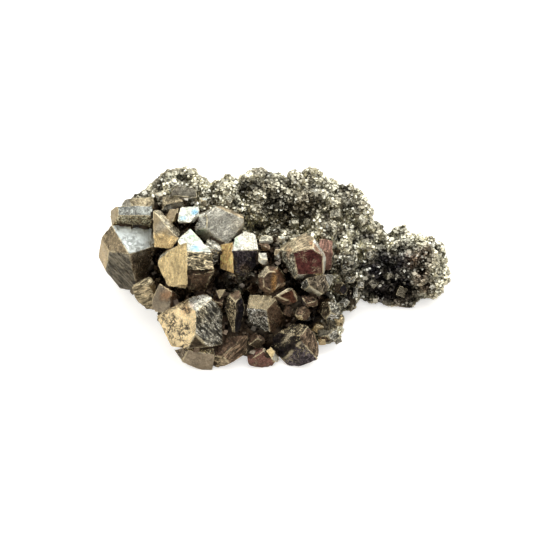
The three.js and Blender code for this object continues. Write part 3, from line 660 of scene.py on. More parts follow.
def plane_axes(normal, turn):
    """Two directions in a plane, the first along the ribs, which run at `turn` degrees on the show face."""
    run = np.array([math.cos(math.radians(turn)), math.sin(math.radians(turn)), 0]) @ FACE_AXES
    along = run - normal * (run @ normal)
    if np.linalg.norm(along) < SHORTEST_RUN:
        along = np.cross(normal, SPARE_RUN)
    along /= np.linalg.norm(along)
    return np.array([along, np.cross(normal, along)])


def rim_points(polygon, spacing):
    rim = []
    for start, end in zip(polygon, np.roll(polygon, -1, axis=0)):
        steps = max(1, math.ceil(np.linalg.norm(end - start) / spacing))
        rim += [start + (end - start) * step / steps for step in range(steps)]
    return np.array(rim)


def grid_inside(polygon, spacing):
    low, high = polygon.min(0), polygon.max(0)
    rows = np.arange(low[1], high[1], spacing * ROW_STEP)
    columns = np.arange(low[0], high[0], spacing)
    spots = [(x + (spacing / 2 if n % 2 else 0), y) for n, y in enumerate(rows) for x in columns]
    spots = np.array(spots).reshape(-1, 2)
    keep = np.ones(len(spots), bool)
    for start, edge in zip(polygon, np.roll(polygon, -1, axis=0) - polygon):
        away = spots - start
        reach = (edge[0] * away[:, 1] - edge[1] * away[:, 0]) / max(np.linalg.norm(edge), ON_PLANE)
        keep &= reach > spacing * RIM_CLEARANCE
    return spots[keep]


def facet_net(normal, reach, corners, axes, spacing, rim_spacing):
    """Points and triangles of one flat face, or nothing where the face has been cut away."""
    on_plane = corners[np.abs(corners @ normal - reach) < SAME_POINT]
    if len(on_plane) < 3:
        return None
    middle = on_plane.mean(0)
    flat = (on_plane - middle) @ axes.T
    polygon = flat[np.argsort(np.arctan2(flat[:, 1], flat[:, 0]))]
    rim = rim_points(polygon, rim_spacing)
    spots = [Vector(spot) for spot in np.vstack([rim, grid_inside(polygon, spacing)])]
    net = delaunay_2d_cdt(spots, [], [list(range(len(rim)))], NET_INSIDE, ON_PLANE)
    points = np.array([tuple(spot) for spot in net[0]])
    return middle + points @ axes, np.array(net[2])


first_way, first_reach = (values[0] for values in bodies[first_name])
first_axes = plane_axes(first_way, 0)
first_net = facet_net(first_way, first_reach, first_corners, first_axes, FACET_GRID, FACET_GRID)
print("first facet:", len(first_net[0]), "points,", len(first_net[1]), "triangles")

# %% [markdown]
# Growth marks and wear. A real crystal's edges are a little round and chipped, and its faces have ribs,
# steps and pits. Both come from one soft blend of the plane distances: deep inside a face one plane
# counts alone, and near an edge the neighbours share. The blend gives the rounded direction and mixes
# the two faces' relief without a tear.

# %% Relief of one crystal
EDGE_ROUND = 0.16
EDGE_CHIP = 0.38
CHIP_SIZES = (1.6, 0.6)
CHIP_MOST = 0.8
RIM_WIDTH = 0.6
WARP_SIZES = (4.5, 1.7)
WARP_FINER = 0.4
# Ribs are hills drawn out along their run, with a few terraces on each and steep steps between those.
RIB_SIZES = (1.5, 0.7)
RIB_DRAWN = 0.16
RIB_SHIFT = 5.1
RIB_TERRACES = 3
RIB_STEEPNESS = 2.5
# Broad pits are twice as deep as fine ones, and each kind begins where its hills pass a level.
PIT_SIZES = (1.3, 0.75)
PIT_LEVELS = (0.12, 0.2)
PIT_MOST = 0.5


def rib_relief(flat, seed):
    """Long parallel steps: hills drawn out along the ribs, then cut into terraces."""
    drawn = np.column_stack([flat[:, 0] * RIB_DRAWN, flat[:, 1], np.full(len(flat), seed * RIB_SHIFT)])
    level = rough_hills(drawn, RIB_SIZES, seed, 3) * RIB_TERRACES
    return (np.floor(level) + np.clip((level - np.floor(level)) * RIB_STEEPNESS, 0, 1)) / RIB_TERRACES


def pit_relief(points, seed):
    broad = np.clip(hills(points, PIT_SIZES[0], seed) - PIT_LEVELS[0], 0, PIT_MOST)
    fine = np.clip(hills(points, PIT_SIZES[1], seed + 5) - PIT_LEVELS[1], 0, PIT_MOST)
    return -2 * broad - fine


def weather(points, normals, reaches, reliefs, axes, seed):
    """Moves a crystal's points to its grown, worn surface. Also gives how near each point is to an edge."""
    gaps = points @ normals.T - reaches
    soft = EDGE_ROUND + EDGE_CHIP * np.clip(rough_hills(points, CHIP_SIZES, seed, 1), 0, CHIP_MOST)
    share = np.exp(gaps / soft[:, None])
    total = share.sum(1)
    share /= total[:, None]
    outward = share @ normals
    outward /= np.linalg.norm(outward, axis=1, keepdims=True)
    move = -soft * np.log(total)
    for n, (ribs, pits, warp) in enumerate(reliefs):
        relief = warp * hills(points, WARP_SIZES[0], seed + n)
        relief = relief + WARP_FINER * warp * hills(points, WARP_SIZES[1], seed + n + 7)
        if ribs:
            relief = relief + ribs * rib_relief(points @ axes[n].T, seed + n)
        if pits:
            relief = relief + pits * pit_relief(points, seed + n)
        move = move + share[:, n] * relief
    nearest = np.sort(gaps, axis=1)[:, -2]
    return points + outward * move[:, None], np.exp(nearest / RIM_WIDTH)


print("edge rounding, mm:", EDGE_ROUND, "to", round(EDGE_ROUND + CHIP_MOST * EDGE_CHIP, 2))

# %% [markdown]
# Stains. Some faces carry a patch of another colour: a gold patch on the tall blade, a honey band on
# the brown oval crystal, a rust-coloured fringe beside the maroon face, and spots of sky blue and mint
# on the brightest faces. A stain is a soft spot on one crystal, given on the show face. Painting it
# into the mesh keeps it in its place, which no random pattern would.

# %% Stains
# Each stain: crystal, (u, v), radii across and up, turn in degrees, tone, strength.
STAINS = [
    ("left_blade", (-27.0, 7.0), (2.0, 1.5), 10, "gold", 0.9),
    ("left_blade", (-26.5, 10.6), (2.4, 1.0), 30, "steel", 0.5),
    ("brown_oval", (1.9, -3.8), (0.7, 2.3), -4, "honey", 0.85),
    ("maroon_block", (12.6, 4.6), (2.4, 0.5), -50, "rust", 0.8),
    ("maroon_block", (5.6, 3.4), (0.6, 1.4), 0, "rust", 0.5),
    ("left_lower_block", (-25.4, -7.2), (1.8, 1.2), 30, "rust", 0.5),
    ("front_left_block", (-20.0, -10.6), (1.8, 1.1), 35, "rust", 0.45),
    ("flat_octagon", (-7.2, 10.2), (1.6, 2.4), 20, "straw", 0.4),
    ("far_left_block", (-33.4, 4.4), (2.0, 1.2), 0, "slate", 0.45),
    ("central_left_top", (-15.5, 4.0), (1.2, 0.8), 0, "slate", 0.6),
    ("middle_block", (-4.4, 7.8), (1.8, 1.4), 0, "straw", 0.35),
    ("slim_blade", (-8.6, -10.6), (1.0, 3.0), -5, "bronze", 0.6),
    ("lower_right_block", (5.4, -18.2), (0.6, 3.2), -35, "straw", 0.8),
    ("lower_right_block", (3.4, -21.0), (0.8, 2.6), 30, "ink", 0.9),
    ("middle_block", (-5.6, -0.4), (1.2, 1.0), 0, "sepia", 0.8),
    ("lower_middle_block", (-2.2, -15.0), (2.2, 1.3), -20, "steel", 0.55),
    ("white_cube", (-18.4, 14.0), (0.9, 0.8), 20, "sky", 0.95),
    ("white_cube", (-21.3, 12.4), (1.0, 0.5), 0, "sky", 0.7),
    ("central_left_top", (-17.8, 4.6), (1.3, 0.8), -20, "sky", 0.85),
    ("central_left_top", (-18.6, 8.6), (1.2, 1.6), 0, "mint", 0.6),
    ("middle_block", (-7.7, 7.2), (0.6, 1.8), 0, "mint", 0.55),
    ("middle_block", (-4.6, 5.4), (1.6, 1.0), 30, "cream", 0.4),
    ("front_left_block", (-16.4, -11.6), (1.2, 2.4), 0, "cream", 0.6),
    ("middle_block", (-3.4, 1.4), (1.2, 1.7), 0, "ink", 0.9),
    ("middle_block", (-7.5, 1.4), (0.9, 1.3), 0, "ink", 0.85),
    ("lower_middle_block", (-1.6, -12.2), (1.8, 0.8), 20, "sepia", 0.6),
]
# A stain is whole up to half its radius and gone at one and a half, with a ragged edge.
STAIN_EDGE = 1.5
STAIN_RAGGED = 0.35
RAGGED_SIZE = 0.9


def stain_share(face_points, spot, radii, turn):
    angle = math.radians(turn)
    away = face_points[:, :2] - spot
    across = (away[:, 0] * math.cos(angle) + away[:, 1] * math.sin(angle)) / radii[0]
    up = (away[:, 1] * math.cos(angle) - away[:, 0] * math.sin(angle)) / radii[1]
    ragged = STAIN_RAGGED * hills(face_points, RAGGED_SIZE, 4)
    return np.clip(STAIN_EDGE - np.hypot(across, up) + ragged, 0, 1)


print(len(STAINS), "stains")

# %% [markdown]
# Closing a crystal. The nets of its faces are put together, and where two faces meet, their rim points
# are made one, so that the surface has no gaps and can be worn as a whole. Triangles that lose a side
# in this are left out. Merging by place is enough here, because both faces set their rim points by the
# same rule.

# %% Join the facets
# Points are one where they agree to this many decimals of a millimetre.
MERGE_DECIMALS = 3


def join_facets(normals, reaches, axes, facet_count):
    """Points, triangles and the facet that each triangle is on, with shared rim points made one."""
    corners = corners_of(normals, reaches)
    points, triangles, owners = [], [], []
    count = 0
    for n, (normal, reach) in enumerate(zip(normals, reaches)):
        spacing = FACET_GRID if n < facet_count else SIDE_GRID
        net = facet_net(normal, reach, corners, axes[n], spacing, FACET_GRID)
        if net is None:
            continue
        points.append(net[0])
        triangles.append(net[1] + count)
        owners.append(np.full(len(net[1]), n))
        count += len(net[0])
    points, triangles, owners = np.vstack(points), np.vstack(triangles), np.concatenate(owners)
    _, first, same = np.unique(np.round(points, MERGE_DECIMALS), axis=0, return_index=True,
                               return_inverse=True)
    points, triangles = points[first], same.reshape(-1)[triangles]
    whole = (triangles[:, 0] != triangles[:, 1]) & (triangles[:, 1] != triangles[:, 2])
    whole &= triangles[:, 0] != triangles[:, 2]
    return points, triangles[whole], owners[whole]


facet_axes = [plane_axes(normal, 0) for normal in bodies[first_name][0]]
first_joined = join_facets(*bodies[first_name], facet_axes, len(CRYSTALS[0][3]))
print(first_name + ":", len(first_joined[0]), "points,", len(first_joined[1]), "triangles")

# %% [markdown]
# One crystal, start to end. Its joined faces are weathered and painted. What the material needs is
# worked out beside the shape: the tone of each face, its roughness, fine ribs and pits, the nearness of
# an edge, and a flat place that runs along the ribs in millimetres. Each facet's pattern starts
# somewhere else, so that no two facets look alike.

# %% Grow one crystal
FACET_SHIFT = 7.3
CRYSTAL_SHIFT = 3.1


def per_corner(values, owners):
    """One row of numbers for each facet, given to all three corners of its triangles."""
    return np.repeat(np.array(values)[owners][:, None, :], 3, axis=1)


def grow(name, normals, reaches, finishes, facet_count, seed):
    """One finished crystal. A finish is a tone, a texture and a turn, and there is one for each plane."""
    words = [finish.split() for finish in finishes]
    axes = [plane_axes(normal, float(turn)) for normal, (_, _, turn) in zip(normals, words)]
    textures = [TEXTURES[texture] for _, texture, _ in words]
    points, triangles, owners = join_facets(normals, reaches, axes, facet_count)
    reliefs = [texture[RELIEF] for texture in textures]
    shaped, rim = weather(points, normals, reaches, reliefs, axes, seed)
    colour = per_corner([linear(tone) for tone, _, _ in words], owners)
    face_points = rest_to_face(points)
    for crystal, spot, radii, turn, tone, strength in STAINS:
        if crystal == name:
            share = stain_share(face_points, spot, radii, turn) * strength
            colour = toward_tone(colour, tone, share[triangles][:, :, None])
    flat = np.einsum("tcx,tax->tca", points[triangles], np.array(axes)[owners])
    return {
        "points": shaped,
        "triangles": triangles,
        "rim": rim,
        "tone": colour,
        "finish": per_corner([texture[FINISH] for texture in textures], owners),
        "marks": per_corner([texture[MARKS] for texture in textures], owners),
        "flat": flat + (owners * FACET_SHIFT + seed * CRYSTAL_SHIFT)[:, None, None],
    }


def grow_row(row, seed):
    name, _, _, facets, _, finishes, side_finish = row
    normals, reaches = bodies[name]
    every = finishes + [side_finish] * (len(normals) - len(finishes))
    return grow(name, normals, reaches, every, len(facets), seed)


grown = {row[0]: grow_row(row, seed) for seed, row in enumerate(CRYSTALS)}
print(sum(len(crystal["triangles"]) for crystal in grown.values()), "triangles on the big crystals")

# %% [markdown]
# From grown crystals to objects. Forty-seven objects would be a lot to handle, so the crystals are
# gathered by where they sit on the show face: left, centre, front and right. The tone, the finish, the
# marks and the nearness of an edge go into the mesh as attributes, and the flat place as a UV map.
# Edges sharper than about 30 degrees stay crisp, and the rest is shaded smooth.

# %% Crystal pieces
SHARP_EDGE = math.radians(32)
GROUPS = {
    "left_crystals": ["far_left_block", "left_slab", "left_blade", "blade_chip", "white_cube",
                      "flat_octagon", "left_lower_wedge", "left_lower_block", "upper_left_block",
                      "tuft_slab", "brown_ledge", "tuft_chip", "top_chip"],
    "central_crystals": ["central_left_face", "central_left_top", "central_left_step", "striped_wedge",
                         "gold_side", "middle_block", "brown_oval", "bright_chip", "upper_chip",
                         "brown_chip", "tan_triangle", "tan_bead", "white_bead", "edge_plate"],
    "front_crystals": ["front_left_block", "front_foot", "front_brown_foot", "slim_blade",
                       "lower_middle_block", "plum_block", "tan_chip", "dark_chip"],
    "right_crystals": ["maroon_block", "red_sliver", "grey_lobe", "brown_bar_block", "small_tan_block",
                       "small_brown_block", "lower_right_block", "corner_block", "corner_foot", "neck_block",
                       "neck_chip", "neck_splinter"],
}


def mesh_of(name, crystals):
    """One object from several grown crystals, with everything the material reads."""
    points = np.vstack([crystal["points"] for crystal in crystals]) * MM
    starts = np.cumsum([0] + [len(crystal["points"]) for crystal in crystals[:-1]])
    triangles = np.vstack([crystal["triangles"] + start for crystal, start in zip(crystals, starts)])
    mesh = bpy.data.meshes.new(name)
    mesh.from_pydata(points.tolist(), [], triangles.tolist())
    tone = np.ones((len(triangles) * 3, 4))
    tone[:, :3] = np.vstack([crystal["tone"].reshape(-1, 3) for crystal in crystals])
    mesh.color_attributes.new("tone", "FLOAT_COLOR", "CORNER").data.foreach_set("color", tone.ravel())
    for label in ("finish", "marks"):
        values = np.vstack([crystal[label].reshape(-1, 3) for crystal in crystals])
        mesh.attributes.new(label, "FLOAT_VECTOR", "CORNER").data.foreach_set("vector", values.ravel())
    rim = np.concatenate([crystal["rim"] for crystal in crystals])
    mesh.attributes.new("rim", "FLOAT", "POINT").data.foreach_set("value", rim)
    flat = np.vstack([crystal["flat"].reshape(-1, 2) for crystal in crystals])
    mesh.uv_layers.new(name="ribs").data.foreach_set("uv", flat.ravel())
    mesh.shade_smooth()
    mesh.set_sharp_from_angle(angle=SHARP_EDGE)
    piece = bpy.data.objects.new(name, mesh)
    scene.collection.objects.link(piece)
    print(name, len(triangles), "triangles")
    return piece


crystal_pieces = [mesh_of(name, [grown[member] for member in members]) for name, members in GROUPS.items()]

# %% [markdown]
# The crystals of the back and the small ones. On the back stand ten stout cubes with cut corners, and
# between the big crystals of the show face sit small cubes. A small crystal is given by its place on
# the show face, and one of the back by its place in the upright frame, both with half the cube's width
# and a finish.

# %% Cube tables
SMALL_CRYSTALS = [
    (5.6, -11.2, 1.3), (13.3, -15.5, 1.3), (14.3, -19, 1.0), (20.6, -9.4, 1.1), (18.6, -13.8, 1.2),
    (16.6, -14.6, 1.4), (18.2, -18.6, 1.0), (20.3, -0.8, 1.4), (22.4, -5.4, 1.1), (21.4, -7.2, 1.2),
    (27.5, 2.8, 1.2), (31.9, -1.7, 1.3), (27.8, -4.1, 1.2), (35.4, -6.4, 1.3), (24.6, -4.4, 1.0),
    (-4, -5.6, 1.4), (-9.8, 17.6, 1.0), (7.4, 11.2, 1.1), (11, 11.4, 1.1), (-12.4, -9.2, 1.4),
    (18.4, 13.4, 1.5), (24.6, 12, 1.3),
]
SMALL_FINISHES = [
    "umber speckled 0", "tan smooth 0", "tan smooth 0", "silver etched 0", "tan mottled 0",
    "smoke mottled 0", "steel etched 0", "steel mottled 0", "smoke smooth 0", "black smooth 0",
    "steel mottled 0", "steel smooth 0", "steel etched 0", "smoke smooth 0", "silver etched 0",
    "umber smooth 0", "champagne speckled 0", "champagne speckled 0", "champagne speckled 0",
    "umber smooth 0", "champagne speckled 0", "champagne smooth 0",
]
BACK_CRYSTALS = [
    (-27, 29, 8, 5.0), (-16, 31, 7, 4.2), (-7, 32.2, 7, 4.6), (4, 33, 5.5, 3.8), (13, 32, 8, 4.2),
    (22, 28, 6, 3.8), (31, 17.5, 4.5, 3.4), (40, 17, 4.5, 3.2), (-37, 20, 6, 4.2), (-22, 32.5, 11, 3.2),
]
BACK_FINISHES = [
    "tan ribbed 0", "steel speckled 0", "straw stepped 0", "bronze brushed 0", "tan brushed 0",
    "bronze speckled 0", "steel brushed 0", "bronze stepped 0", "straw brushed 0", "steel etched 0",
]
print(len(SMALL_CRYSTALS), "small crystals,", len(BACK_CRYSTALS), "on the back")

# %% [markdown]
# Turning the cubes. No two crystals in a druse lie the same way. The cubes are turned, and made a
# little uneven, by the same small random rule as in the model, drawn in the same order, so each one
# lies in its own solid. A cube is six planes in pairs, and eight more cut its corners.

# %% Cube planes
DRUSE_SEED = 7
RANDOM_FACTOR = 1664525
RANDOM_STEP = 1013904223
RANDOM_SPAN = 4294967296
CUBE_UNEVEN = 0.3
CORNER_CUT = 1.35


def seeded_random(seed):
    state = seed
    while True:
        state = (state * RANDOM_FACTOR + RANDOM_STEP) % RANDOM_SPAN
        yield state / RANDOM_SPAN


def cube_planes(middle, half_size, source):
    angles = [next(source) * math.pi for _ in range(3)]
    turns = [Matrix.Rotation(angle, 3, axis) for angle, axis in zip(angles, "XYZ")]
    turn = np.array(turns[0] @ turns[1] @ turns[2])
    ways, reaches = [], []
    for side in (1, -1):
        uneven = half_size * (1 + CUBE_UNEVEN * (next(source) - 0.5))
        ways += [(side, 0, 0), (0, side, 0), (0, 0, side)]
        reaches += [half_size, uneven, half_size]
    normals = np.array(ways, float) @ turn.T
    return normals, np.array(reaches) + normals @ middle


def cut_corners(normals, reaches, middle, reach):
    ways = [normals[a] + normals[b] + normals[c] for a in (0, 3) for b in (1, 4) for c in (2, 5)]
    ways = np.array(ways) / math.sqrt(3)
    return np.vstack([normals, ways]), np.concatenate([reaches, reach + ways @ middle])


print("first random number:", round(next(seeded_random(DRUSE_SEED)), 3))

# %% [markdown]
# Setting the cubes. A small crystal is sunk until little more than its upper corners stand out of what
# lies under its place on the show face. A straight line down onto the model finds that spot. The
# crystals of the back were placed before the model was centred over its base, so they get the same
# sideways shift.

# %% Grow the cubes
# How far above the show face the straight line starts, mm.
LINE_START = 60
# How deep a small crystal's middle is sunk, as a share of half its width.
CUBE_SUNK = 0.9
SMALL_SEED = 40
BACK_SEED = 70
CENTRING = FACE_ORIGIN * (1, 1, 0)

cad_mesh = bmesh.new()
cad_mesh.from_mesh(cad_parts[CLUSTER].data)
cad_tree = BVHTree.FromBMesh(cad_mesh)
cad_mesh.free()


def point_on_model(u, v):
    """Where a line straight down onto the show face at (u, v) meets the model, or else the nearest spot."""
    start = Vector(face_to_rest([u, v, LINE_START]) * MM)
    hit = cad_tree.ray_cast(start, Vector(-FACE_AXES[2]))[0]
    if hit is None:
        hit = cad_tree.find_nearest(Vector(face_to_rest([u, v, 0]) * MM))[0]
    return np.array(hit) / MM


def grow_cube(name, planes, finish, seed):
    """A cube with one finish all over. Its last plane is the one that the specimen rests on."""
    return grow(name, *planes, [finish] * len(planes[0]), len(planes[0]) - 1, seed)


source = seeded_random(DRUSE_SEED)
small_bodies, back_bodies = [], []
for u, v, half_size in SMALL_CRYSTALS:
    middle = point_on_model(u, v) - FACE_AXES[2] * half_size * CUBE_SUNK
    small_bodies.append(cut_at_rest(*cube_planes(middle, half_size, source)))
for x, y, z, half_size in BACK_CRYSTALS:
    middle = np.array([x, y, z]) + CENTRING
    cube = cube_planes(middle, half_size, source)
    back_bodies.append(cut_at_rest(*cut_corners(*cube, middle, half_size * CORNER_CUT)))
for name, cubes, finishes, seed in (("small_crystals", small_bodies, SMALL_FINISHES, SMALL_SEED),
                                    ("back_crystals", back_bodies, BACK_FINISHES, BACK_SEED)):
    cubes_grown = [grow_cube(name, planes, finish, seed + n)
                   for n, (planes, finish) in enumerate(zip(cubes, finishes))]
    crystal_pieces.append(mesh_of(name, cubes_grown))

# %% [markdown]
# The mass. Between the crystals shows the rough rock-like body they grew from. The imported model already
# has its lumps, so a merged copy of it is remeshed to an even skin of half-millimetre steps. A voxel
# remesh suits this, because it doesn't depend on how the model's triangles lie, and a little smoothing
# takes its stairs away.

# %% Even skin
SKIN_VOXEL = 0.5
SMOOTH_SHARE = 0.5
SMOOTH_PASSES = 9

skin_bmesh = bmesh.new()
skin_bmesh.from_mesh(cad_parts[CLUSTER].data)
bmesh.ops.remove_doubles(skin_bmesh, verts=skin_bmesh.verts, dist=SAME_POINT * MM)
even_mesh = bpy.data.meshes.new("even")
skin_bmesh.to_mesh(even_mesh)
skin_bmesh.free()
even = bpy.data.objects.new("even", even_mesh)
scene.collection.objects.link(even)
remesh = even.modifiers.new("even", "REMESH")
remesh.mode = "VOXEL"
remesh.voxel_size = SKIN_VOXEL * MM
smooth = even.modifiers.new("smooth", "SMOOTH")
smooth.factor = SMOOTH_SHARE
smooth.iterations = SMOOTH_PASSES
skin_mesh = bpy.data.meshes.new_from_object(even.evaluated_get(bpy.context.evaluated_depsgraph_get()))
bpy.data.objects.remove(even)
print("skin:", len(skin_mesh.vertices), "points")

# %% [markdown]
# Roughening the mass. Hills of three sizes are laid on the skin, dying out towards the base, which
# stays flat. Where a crystal covers the skin, the skin is drawn in towards the crystal's middle, so
# that the crystal alone shows there. Moving the points directly says exactly where each one goes, which
# a modifier wouldn't.

# %% Roughen the skin
# Each size of hill: size and height, mm.
SKIN_LUMPS = ((4.0, 0.85), (2.0, 0.48), (1.1, 0.16))
SKIN_PULL = 0.05
SKIN_COVER = 0.35
SKIN_SINK = 1.3
BASE_EDGE = 0.9
FAR_AWAY = 99.0


def mesh_numbers(source, label):
    """The vectors that a list of points or normals holds, as rows."""
    flat = np.zeros(len(source) * 3, np.float32)
    source.foreach_get(label, flat)
    return flat.reshape(-1, 3).astype(float)


def crystal_distance(points, planes):
    """How far outside a crystal each point is, below 0 inside it."""
    normals, reaches = planes
    return (points @ normals.T - reaches).max(1)


skin = mesh_numbers(skin_mesh.vertices, "co") / MM
outward = mesh_numbers(skin_mesh.vertex_normals, "vector")
clear = np.full(len(skin), FAR_AWAY)
push = np.zeros_like(skin)
for planes in [*bodies.values(), *back_bodies, *small_bodies]:
    distance = crystal_distance(skin, planes)
    closer = distance < clear
    clear[closer] = distance[closer]
    away = skin[closer] - corners_of(*planes).mean(0)
    push[closer] = away / np.linalg.norm(away, axis=1, keepdims=True)
sink = np.clip((SKIN_COVER - clear) / SKIN_COVER, 0, 1)
lift = -SKIN_PULL + sum(height * hills(skin, size, seed) for seed, (size, height) in enumerate(SKIN_LUMPS))
above_base = np.clip(skin[:, 2] / BASE_EDGE, 0, 1)
skin = skin + outward * (lift * above_base * (1 - sink))[:, None] - push * (SKIN_SINK * sink)[:, None]
skin[:, 2] = np.maximum(skin[:, 2], 0)
skin_mesh.vertices.foreach_set("co", (skin * MM).ravel())
skin_mesh.name = "mass"
mass = bpy.data.objects.new("mass", skin_mesh)
scene.collection.objects.link(mass)
print("mass:", len(skin), "points")

# %% [markdown]
# Colour zones. Most of the druse is champagne, and some zones tint it smoke, violet, umber or silver in
# places. The brown of the bowl above the middle, the violet-black of the hollow of the arm and the near
# black in the holes and crevices beside the big crystals are painted shade. Zones are soft spots on the
# model, given on the show face, and every point of the mass takes its tone from them.

# %% Zones
# Each zone: (u, v) on the show face, radius, tone, strength.
# Painted shade: the dark zones of the bowl, the ink zones of the arm's hollow and the black zones of holes
# and crevices. The others are tints.
TINT_AND_SHADE_ZONES = [
    ((-40, 15.5), 4.0, "smoke", 0.6), ((-34, 17), 4.5, "smoke", 0.6), ((-21, 19), 4.5, "violet", 0.55),
    ((-26, 16), 3.0, "soil", 0.6), ((-21.5, 22.4), 1.6, "smoke", 0.6), ((-18.2, 17.5), 1.2, "black", 0.9),
    ((-14.2, 17), 1.3, "soil", 0.9), ((-29, 14.5), 1.2, "black", 0.9), ((-5.7, 20.2), 2.1, "black", 0.75),
    ((4, 13), 5.0, "soil", 0.7), ((9, 15.5), 4.5, "soil", 0.7), ((0, 14), 3.5, "smoke", 0.3),
    ((10.4, 12.6), 2.0, "black", 0.9), ((15.8, 13.1), 1.5, "black", 0.8), ((18.4, 9.2), 2.0, "soil", 0.8),
    ((26.6, 7.8), 2.0, "black", 0.9), ((12, 17.5), 3.5, "soil", 0.5), ((-1, 9), 2.6, "smoke", 0.6),
    ((28.5, -1), 3.8, "ink", 0.97), ((31, -3), 4.8, "ink", 0.97), ((35.5, -3), 4.4, "ink", 0.97),
    ((31, 2.5), 3.2, "ink", 0.92), ((35.5, 1), 3.4, "ink", 0.95), ((27, -5.5), 3.0, "ink", 0.85),
    ((21, -1.5), 2.2, "silver", 0.8), ((22.6, -5), 1.6, "silver", 0.7), ((18.6, 1.5), 1.6, "silver", 0.6),
    ((22, -9.5), 2.4, "soil", 0.8), ((41.2, 3), 2.6, "umber", 0.9), ((41.5, -5.6), 2.2, "umber", 0.8),
    ((36, -9.6), 3.5, "umber", 0.7), ((40.5, -2), 2.4, "umber", 0.7), ((19.5, -6), 2.2, "black", 0.8),
    ((15, -8.5), 2.4, "black", 0.9), ((16.5, -12.5), 2.6, "violet", 0.85), ((14, -17), 2.4, "soil", 0.8),
    ((36.5, -5.5), 3.4, "ink", 0.75), ((38.8, 1.5), 2.2, "umber", 0.8), ((32.7, -2.2), 0.8, "silver", 0.9),
    ((27.2, -4.8), 0.8, "silver", 0.8), ((37.5, -1.5), 0.8, "steel", 0.8), ((35.5, -6.9), 0.7, "steel", 0.7),
    ((27.2, 1.9), 1.1, "steel", 0.8), ((22.2, 2.1), 1.2, "silver", 0.8), ((0, 23), 3.5, "smoke", 0.55),
    ((8, 22.5), 4.5, "smoke", 0.55), ((25.6, 0.4), 1.3, "ink", 0.9), ((21.4, -7.9), 1.6, "ink", 0.9),
    ((31, -7.5), 2.4, "violet", 0.8),
]
DRUSE_LIGHT = 0.96
# Lighter and darker patches: strength, size in mm, seed.
DRUSE_PATCHES = ((0.16, 5.5, 21), (0.10, 2.0, 22))
# Greyer patches: size in mm, seed, how sharp they are, how rare they are, how strong at most.
GREY_SIZE, GREY_SEED, GREY_GAIN, GREY_LEVEL, GREY_MOST = 7.5, 23, 1.4, 0.25, 0.75
# A zone is whole up to about half its radius and gone past its radius and a half, with a ragged edge.
ZONE_EDGE = 1.45
ZONE_RAGGED = 0.3
ZONE_GRAIN = 1.8


def zone_tint_and_shade(points):
    colour = np.repeat(linear("champagne")[None, :], len(points), axis=0) * DRUSE_LIGHT
    light = sum((strength * hills(points, size, seed) for strength, size, seed in DRUSE_PATCHES), 1)
    colour = colour * light[:, None]
    grey = np.clip(hills(points, GREY_SIZE, GREY_SEED) * GREY_GAIN - GREY_LEVEL, 0, GREY_MOST)
    colour = toward_tone(colour, "smoke", grey[:, None])
    ragged = ZONE_RAGGED * hills(points, ZONE_GRAIN, 24)
    for (u, v), radius, tone, strength in TINT_AND_SHADE_ZONES:
        distance = np.linalg.norm(points - point_on_model(u, v), axis=1)
        share = np.clip(ZONE_EDGE - distance / radius + ragged, 0, 1) * strength
        colour = toward_tone(colour, tone, share[:, None])
    return colour


zone_tints_and_shade = zone_tint_and_shade(skin)
print(len(TINT_AND_SHADE_ZONES), "zones")

# %% [markdown]
# Hollows and crevices. Light hardly gets in between lumps and beside the big crystals, so shade is painted
# there into the mass's tone. A point's height among the lumps darkens the hollows with painted shade. A
# crevice is where a point has two big crystals near it, so its distance to the second nearest one tells.
# Crevices, and the skin right beside a big crystal, get painted shade that runs from black to umber in
# patches. Crystals that stand in the druse are left out of that. Two more attributes say where the druse may
# grow: in the open, and in the gaps.

# %% Hollows and crevices
IN_THE_DRUSE = {"upper_left_block", "tuft_slab", "brown_ledge", "tuft_chip", "top_chip", "neck_chip",
                "neck_splinter", "corner_foot", "white_bead", "red_sliver", "neck_block"}
# How much painted shade darkens the dips of the mass against its bumps, from a middle lightness, within two
# ends.
HOLLOW_SHADE = 2.0
HOLLOW_MIDDLE = 1.02
HOLLOW_ENDS = (0.25, 1.45)
CREVICE_REACH = 1.3
CREVICE_WIDTH = 3.8
CREVICE_FADE = 0.8
BESIDE_SHADE_DEPTH = 0.7
CREVICE_SHADE_DEPTH = 0.92
# Painted shade in the crevices goes from black to umber in patches: size in mm, seed, how sharp.
CREVICE_SHADE_SIZE, CREVICE_SHADE_SEED, CREVICE_SHADE_GAIN = 3.0, 25, 1.2
# The druse keeps clear of crystals, fades in beside them, and stays away from crevices.
DRUSE_CLEARANCE = 0.25
DRUSE_FADE = 0.3
CREVICE_BARE = 1.4
OPEN_LEAST = 0.5
GAP_LEAST = 0.4

big = [bodies[row[0]] for row in CRYSTALS if row[0] not in IN_THE_DRUSE]
beside = np.sort([crystal_distance(skin, planes) for planes in big], axis=0)
lumpy = (lift + SKIN_PULL) / sum(height for _, height in SKIN_LUMPS)
# Painted shade: the dips among the lumps are made darker in the tone.
skin_tone_and_shade = zone_tints_and_shade * np.clip(HOLLOW_MIDDLE + HOLLOW_SHADE * lumpy, *HOLLOW_ENDS)[:, None]
crevice = np.clip((CREVICE_WIDTH - beside[1]) / CREVICE_FADE, 0, 1)
near = np.clip(1 - beside[0] / CREVICE_REACH, 0, 1) * BESIDE_SHADE_DEPTH
shaded = np.maximum(near, crevice * CREVICE_SHADE_DEPTH)[:, None]
